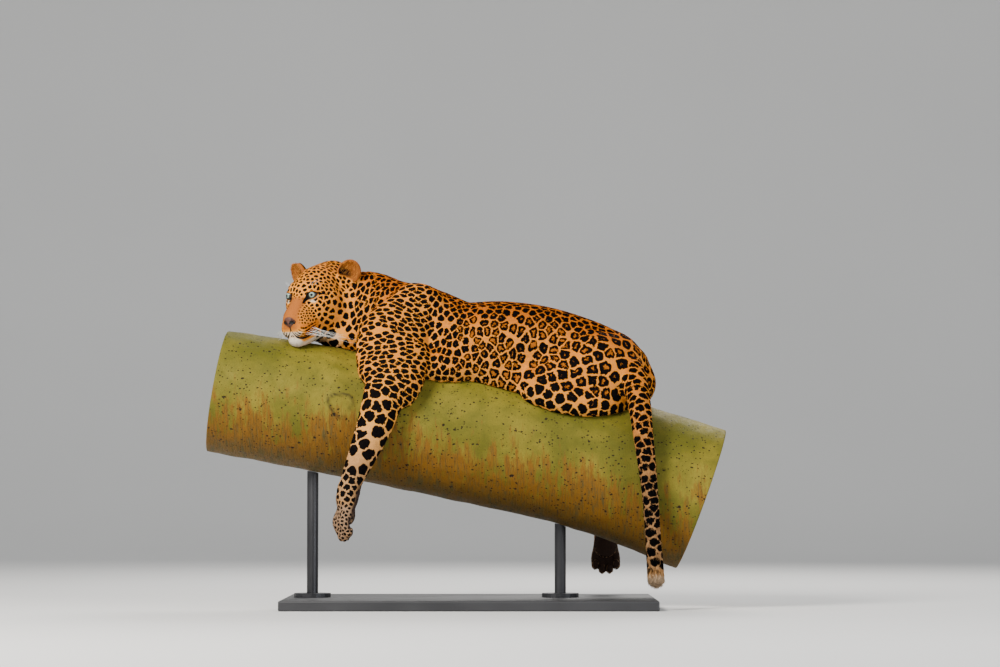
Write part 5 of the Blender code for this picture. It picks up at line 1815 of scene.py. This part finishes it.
def camera(frame_width):
    """A view from the front that is this wide at the object."""
    tilt = math.radians(VIEW_TILT)
    back = Vector((0.0, -math.cos(tilt), math.sin(tilt)))
    data = bpy.data.cameras.new("camera")
    data.sensor_width, data.lens, data.clip_end = SENSOR, SENSOR * VIEW_DISTANCE / frame_width, FARTHEST
    obj = bpy.data.objects.new("camera", data)
    obj.location = Vector(VIEW_MIDDLE) + back * VIEW_DISTANCE
    obj.rotation_euler = (-back).to_track_quat("-Z", "Y").to_euler()
    bpy.context.scene.collection.objects.link(obj)
    bpy.context.scene.camera = obj


def colour_of(name, what, value):
    """A colour that the user can set."""
    return FloatVectorProperty(
        name=name, description=what, default=value, size=3, min=0, max=1, subtype="COLOR"
    )


def number_of(name, what, value, **limits):
    """A number that the user can set."""
    return FloatProperty(name=name, description=what, default=value, **limits)


def length_of(name, what, value):
    """A length that the user can set."""
    return number_of(name, what, value, min=0, unit="LENGTH")


class LeopardCoatLook(bpy.types.PropertyGroup):
    """The coat's colours and its tufts."""

    gold: colour_of("Gold", "Ground colour of the flanks", (0.76, 0.222, 0.007))
    deep_gold: colour_of("Deep gold", "Ground colour of the back and crown", (0.54, 0.135, 0.004))
    cream: colour_of("Cream", "Paler ground between spots and low on the body", (0.86, 0.41, 0.070))
    white: colour_of("White", "Chin, throat and belly", (0.68, 0.59, 0.46))
    grey: colour_of("Grey", "Paws and the tail's tip", (0.175, 0.135, 0.112))
    rust: colour_of("Rust", "Bridge of the nose and whisker pads", (0.42, 0.130, 0.025))
    rosette: colour_of("Rosette", "Middles of the rosettes", (0.37, 0.105, 0.007))
    # near black, with a faint blue tint that is a painted sheen of the sky on the black hair
    black: colour_of("Black", "Spots", (0.0016, 0.0013, 0.0018))
    leather: colour_of("Leather", "Soles", (0.045, 0.028, 0.024))
    nose: colour_of("Nose", "Nose leather", (0.105, 0.042, 0.030))
    raggedness: number_of("Raggedness", "How uneven the spots' edges are", 0.34, min=0, max=1)
    tufts: IntProperty(
        name="Tufts", description="Tufts in the whole coat", default=300000, min=1000, max=340000
    )
    tuft_length: number_of("Tuft length", "Share of the coat's own length", 1.0, min=0.2, max=2)
    tuft_width: number_of("Tuft width", "Share of the tufts' own width", 1.0, min=0.2, max=2)
    tuft_lift: number_of("Tuft lift", "Degrees the tufts rise from the skin", 6.0, min=0, max=45)


class LeopardFaceLook(bpy.types.PropertyGroup):
    """Eyes and whiskers."""

    iris: colour_of("Iris", "Outer iris", (0.15, 0.23, 0.19))
    iris_streak: colour_of("Iris streaks", "Streaks in the iris", (0.30, 0.40, 0.34))
    iris_middle: colour_of("Iris middle", "Iris around the pupil", (0.20, 0.24, 0.15))
    pupil: number_of("Pupil", "Half the pupil's angle from the look", 0.26, min=0.05, max=0.5)
    eye_radius: length_of("Eye radius", "Radius of each eyeball", EYE_RADIUS)
    whisker_length: length_of("Whisker length", "Length of the longest", 0.115)


class LeopardPerchLook(bpy.types.PropertyGroup):
    """Branch and stand."""

    green: colour_of("Green", "Bark in the lee", (0.094, 0.088, 0.006))
    yellow: colour_of("Yellow", "Bark on top", (0.225, 0.178, 0.017))
    dust: colour_of("Dust", "Orange powder below", (0.175, 0.072, 0.005))
    # fine dark seams and grain, and also the painted shade along the branch's underside
    seam: colour_of("Seam", "Fine dark seams", (0.075, 0.060, 0.018))
    pit: colour_of("Pit", "Pits and scars", (0.012, 0.007, 0.004))
    sapwood: colour_of("Sapwood", "Pale sawn wood", (0.62, 0.46, 0.25))
    ring_wood: colour_of("Ring wood", "Darker wood of the rings", (0.40, 0.24, 0.10))
    roughness: number_of("Unevenness", "How uneven the bark's shape is", 1.0, min=0, max=2)
    paint: colour_of("Paint", "Base", (0.022, 0.022, 0.024))
    steel: colour_of("Steel", "Rods", (0.045, 0.045, 0.048))


class LeopardStageLook(bpy.types.PropertyGroup):
    """Floor, light and view."""

    floor: colour_of("Floor", "Floor and backdrop", (0.72, 0.71, 0.69))
    key: number_of("Key light", "Main light, from the upper left", 420.0, unit="POWER")
    fill: number_of("Fill light", "Soft light from the right", 110.0, unit="POWER")
    back: number_of("Back light", "Light from behind above", 160.0, unit="POWER")
    sky: number_of("Sky", "Strength of the light from all around", 0.56, min=0)
    width: length_of("View width", "Width of the view at the object", 3.0)


# The solids that the skin takes the place of
FLESH = """
torso neck head ear_left ear_right upper_arm_left forearm_left paw_left_fore upper_arm_right
forearm_right paw_right_fore thigh_left shank_left foot_left_hind thigh_right shank_right
foot_right_hind tail_base tail_middle tail_end
""".split()


@functools.lru_cache(None)
def coat_finish():
    """The skin's material and the tufts', which share their markings."""
    look = bpy.context.scene.leopard_coat
    colours = coat_colours(look, coat_markings(look))
    return coat_material("skin", colours, False), coat_material("fur", colours, True)


class LEOPARD_OT_skin(bpy.types.Operator):
    """Make the animal's one skin, in place of the solids of flesh"""

    bl_idname = "leopard.skin"
    bl_label = "Skin"

    def execute(self, context):
        points, triangles, _, _, _, marks, rows = dressed_skin()
        mesh = mesh_of("skin", points, triangles)
        for name, (given, _) in marks.items():
            store(mesh, name, given, "CORNER")
        for name, given in rows.items():
            store(mesh, name, given)
        piece("skin", mesh, "coat", coat_finish()[0], *FLESH)
        return {"FINISHED"}


class LEOPARD_OT_coat(bpy.types.Operator):
    """Grow the coat's tufts, one piece for each region of the body"""

    bl_idname = "leopard.coat"
    bl_label = "Coat"

    def execute(self, context):
        look = context.scene.leopard_coat
        points, triangles, _, coat, *_ = dressed_skin()
        left, trunk = points[:, 1] < 0, coat.where("trunk")
        hindlegs = coat.where("left_thigh", "left_shank", "left_foot", "right_thigh", "right_shank")
        regions = {  # the points that belong to each, its share of the tufts, and the charts of its map
            "coat_head": (coat.is_head, 0.150, 9),
            "coat_neck": (coat.where("neck"), 0.100, 1),
            "coat_trunk_left": (trunk & left, 0.162, 1),
            "coat_trunk_right": (trunk & ~left, 0.162, 1),
            "coat_forelegs": (coat.where("left_foreleg", "right_foreleg"), 0.150, 9),
            "coat_hindlegs": (hindlegs, 0.150, 9),
            "coat_tail": (coat.where("tail"), 0.075, 1),
        }
        for number, (name, (chosen, share, charts)) in enumerate(regions.items()):
            count, seed = int(look.tufts * share), COAT_SEED + number
            grow_coat(look, name, chosen[triangles[:, 0]], count, coat_finish()[1], charts, seed)
        return {"FINISHED"}


class LEOPARD_OT_eyes(bpy.types.Operator):
    """Set the two eyes in their lids"""

    bl_idname = "leopard.eyes"
    bl_label = "Eyes"

    def execute(self, context):
        look = context.scene.leopard_face
        finish = eye_material(look)
        for hand, side in ((LEFT, "left"), (RIGHT, "right")):
            piece("eyeball_" + side, eye_mesh(hand, look.eye_radius), "eye", finish, "eye_" + side)
        return {"FINISHED"}


class LEOPARD_OT_whiskers(bpy.types.Operator):
    """Add the whiskers"""

    bl_idname = "leopard.whiskers"
    bl_label = "Whiskers"

    def execute(self, context):
        meshes = whisker_meshes(context.scene.leopard_face.whisker_length)
        piece("whiskers", joined("whiskers", meshes), "coat", whisker_material())
        return {"FINISHED"}


class LEOPARD_OT_branch(bpy.types.Operator):
    """Give the branch its bark and sawn ends"""

    bl_idname = "leopard.branch"
    bl_label = "Branch"

    def execute(self, context):
        look = context.scene.leopard_perch
        mesh, sawn = branch_shape(look.roughness)
        obj = piece("branch", mesh, "bark", bark_material(look), "perch")
        obj.data.materials.append(sawn_material(look))
        obj.data.polygons.foreach_set("material_index", sawn.astype(np.int32))
        return {"FINISHED"}


class LEOPARD_OT_stand(bpy.types.Operator):
    """Paint the stand's base and rods"""

    bl_idname = "leopard.stand"
    bl_label = "Stand"

    def execute(self, context):
        look = context.scene.leopard_perch
        paint = stand_material("stand_paint", look.paint, 0.42, 0.0)
        steel = stand_material("stand_steel", look.steel, 0.36, 0.9)
        for name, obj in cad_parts.items():
            if name.startswith("stand_"):
                for slot in obj.material_slots:
                    slot.material = paint if name == "stand_base" else steel
        return {"FINISHED"}


class LEOPARD_OT_stage(bpy.types.Operator):
    """Lay the floor and set the lights and the camera"""

    bl_idname = "leopard.stage"
    bl_label = "Stage"

    def execute(self, context):
        look = context.scene.leopard_stage
        floor = bpy.data.objects.new("floor", floor_mesh())
        finish, tree, inputs = material("floor", Roughness=0.85, Specular_IOR_Level=0.2)
        cloud = tree.noise(tree.place(), 0.8, 3.0)
        darker = [0.93 * c for c in look.floor]
        tone = tree.blend(tree.between(cloud, 0.3, 0.7, 0.0, 0.3), look.floor, darker)
        tree.put(tone, inputs["Base Color"])
        floor.data.materials.append(finish)
        context.scene.collection.objects.link(floor)
        aim = (0.0, 0.0, 0.75)
        area_light("key", (-2.6, -3.4, 3.3), aim, 1.8, look.key, (1.0, 0.97, 0.92))
        area_light("fill", (3.6, -3.2, 1.6), aim, 2.6, look.fill, (0.93, 0.96, 1.0))
        area_light("back", (0.8, 3.2, 3.4), aim, 2.0, look.back, (1.0, 0.98, 0.95))
        world = bpy.data.worlds.new("sky")
        world.use_nodes = True
        shade = world.node_tree.nodes["Background"]
        shade.inputs["Color"].default_value = (0.86, 0.90, 0.95, 1.0)
        shade.inputs["Strength"].default_value = look.sky
        context.scene.world = world
        camera(look.width)
        return {"FINISHED"}


OPERATORS = (
    LEOPARD_OT_skin,
    LEOPARD_OT_coat,
    LEOPARD_OT_eyes,
    LEOPARD_OT_whiskers,
    LEOPARD_OT_branch,
    LEOPARD_OT_stand,
    LEOPARD_OT_stage,
)
SETTINGS = {
    "leopard_coat": LeopardCoatLook,
    "leopard_face": LeopardFaceLook,
    "leopard_perch": LeopardPerchLook,
    "leopard_stage": LeopardStageLook,
}


class LEOPARD_PT_panel(bpy.types.Panel):
    """The leopard's pieces and settings"""

    bl_label = "Leopard"
    bl_space_type = "VIEW_3D"
    bl_region_type = "UI"
    bl_category = "Leopard"

    def draw(self, context):
        for operator in OPERATORS:
            self.layout.operator(operator.bl_idname)
        for name, settings in SETTINGS.items():
            box = self.layout.box()
            for key in settings.__annotations__:
                box.prop(getattr(context.scene, name), key)


CLASSES = (*SETTINGS.values(), *OPERATORS, LEOPARD_PT_panel)


def register():
    """Adds the classes and the scene's settings."""
    for made in CLASSES:
        bpy.utils.register_class(made)
    for name, settings in SETTINGS.items():
        setattr(bpy.types.Scene, name, PointerProperty(type=settings))


def unregister():
    """Takes them away again."""
    for name in SETTINGS:
        delattr(bpy.types.Scene, name)
    for made in reversed(CLASSES):
        bpy.utils.unregister_class(made)


def main():
    """Builds every piece."""
    register()
    for operator in OPERATORS:
        group, name = operator.bl_idname.split(".")
        result = getattr(getattr(bpy.ops, group), name)()
        if result != {"FINISHED"}:
            raise RuntimeError("the step " + name + " did not finish")


if __name__ == "__main__":
    main()
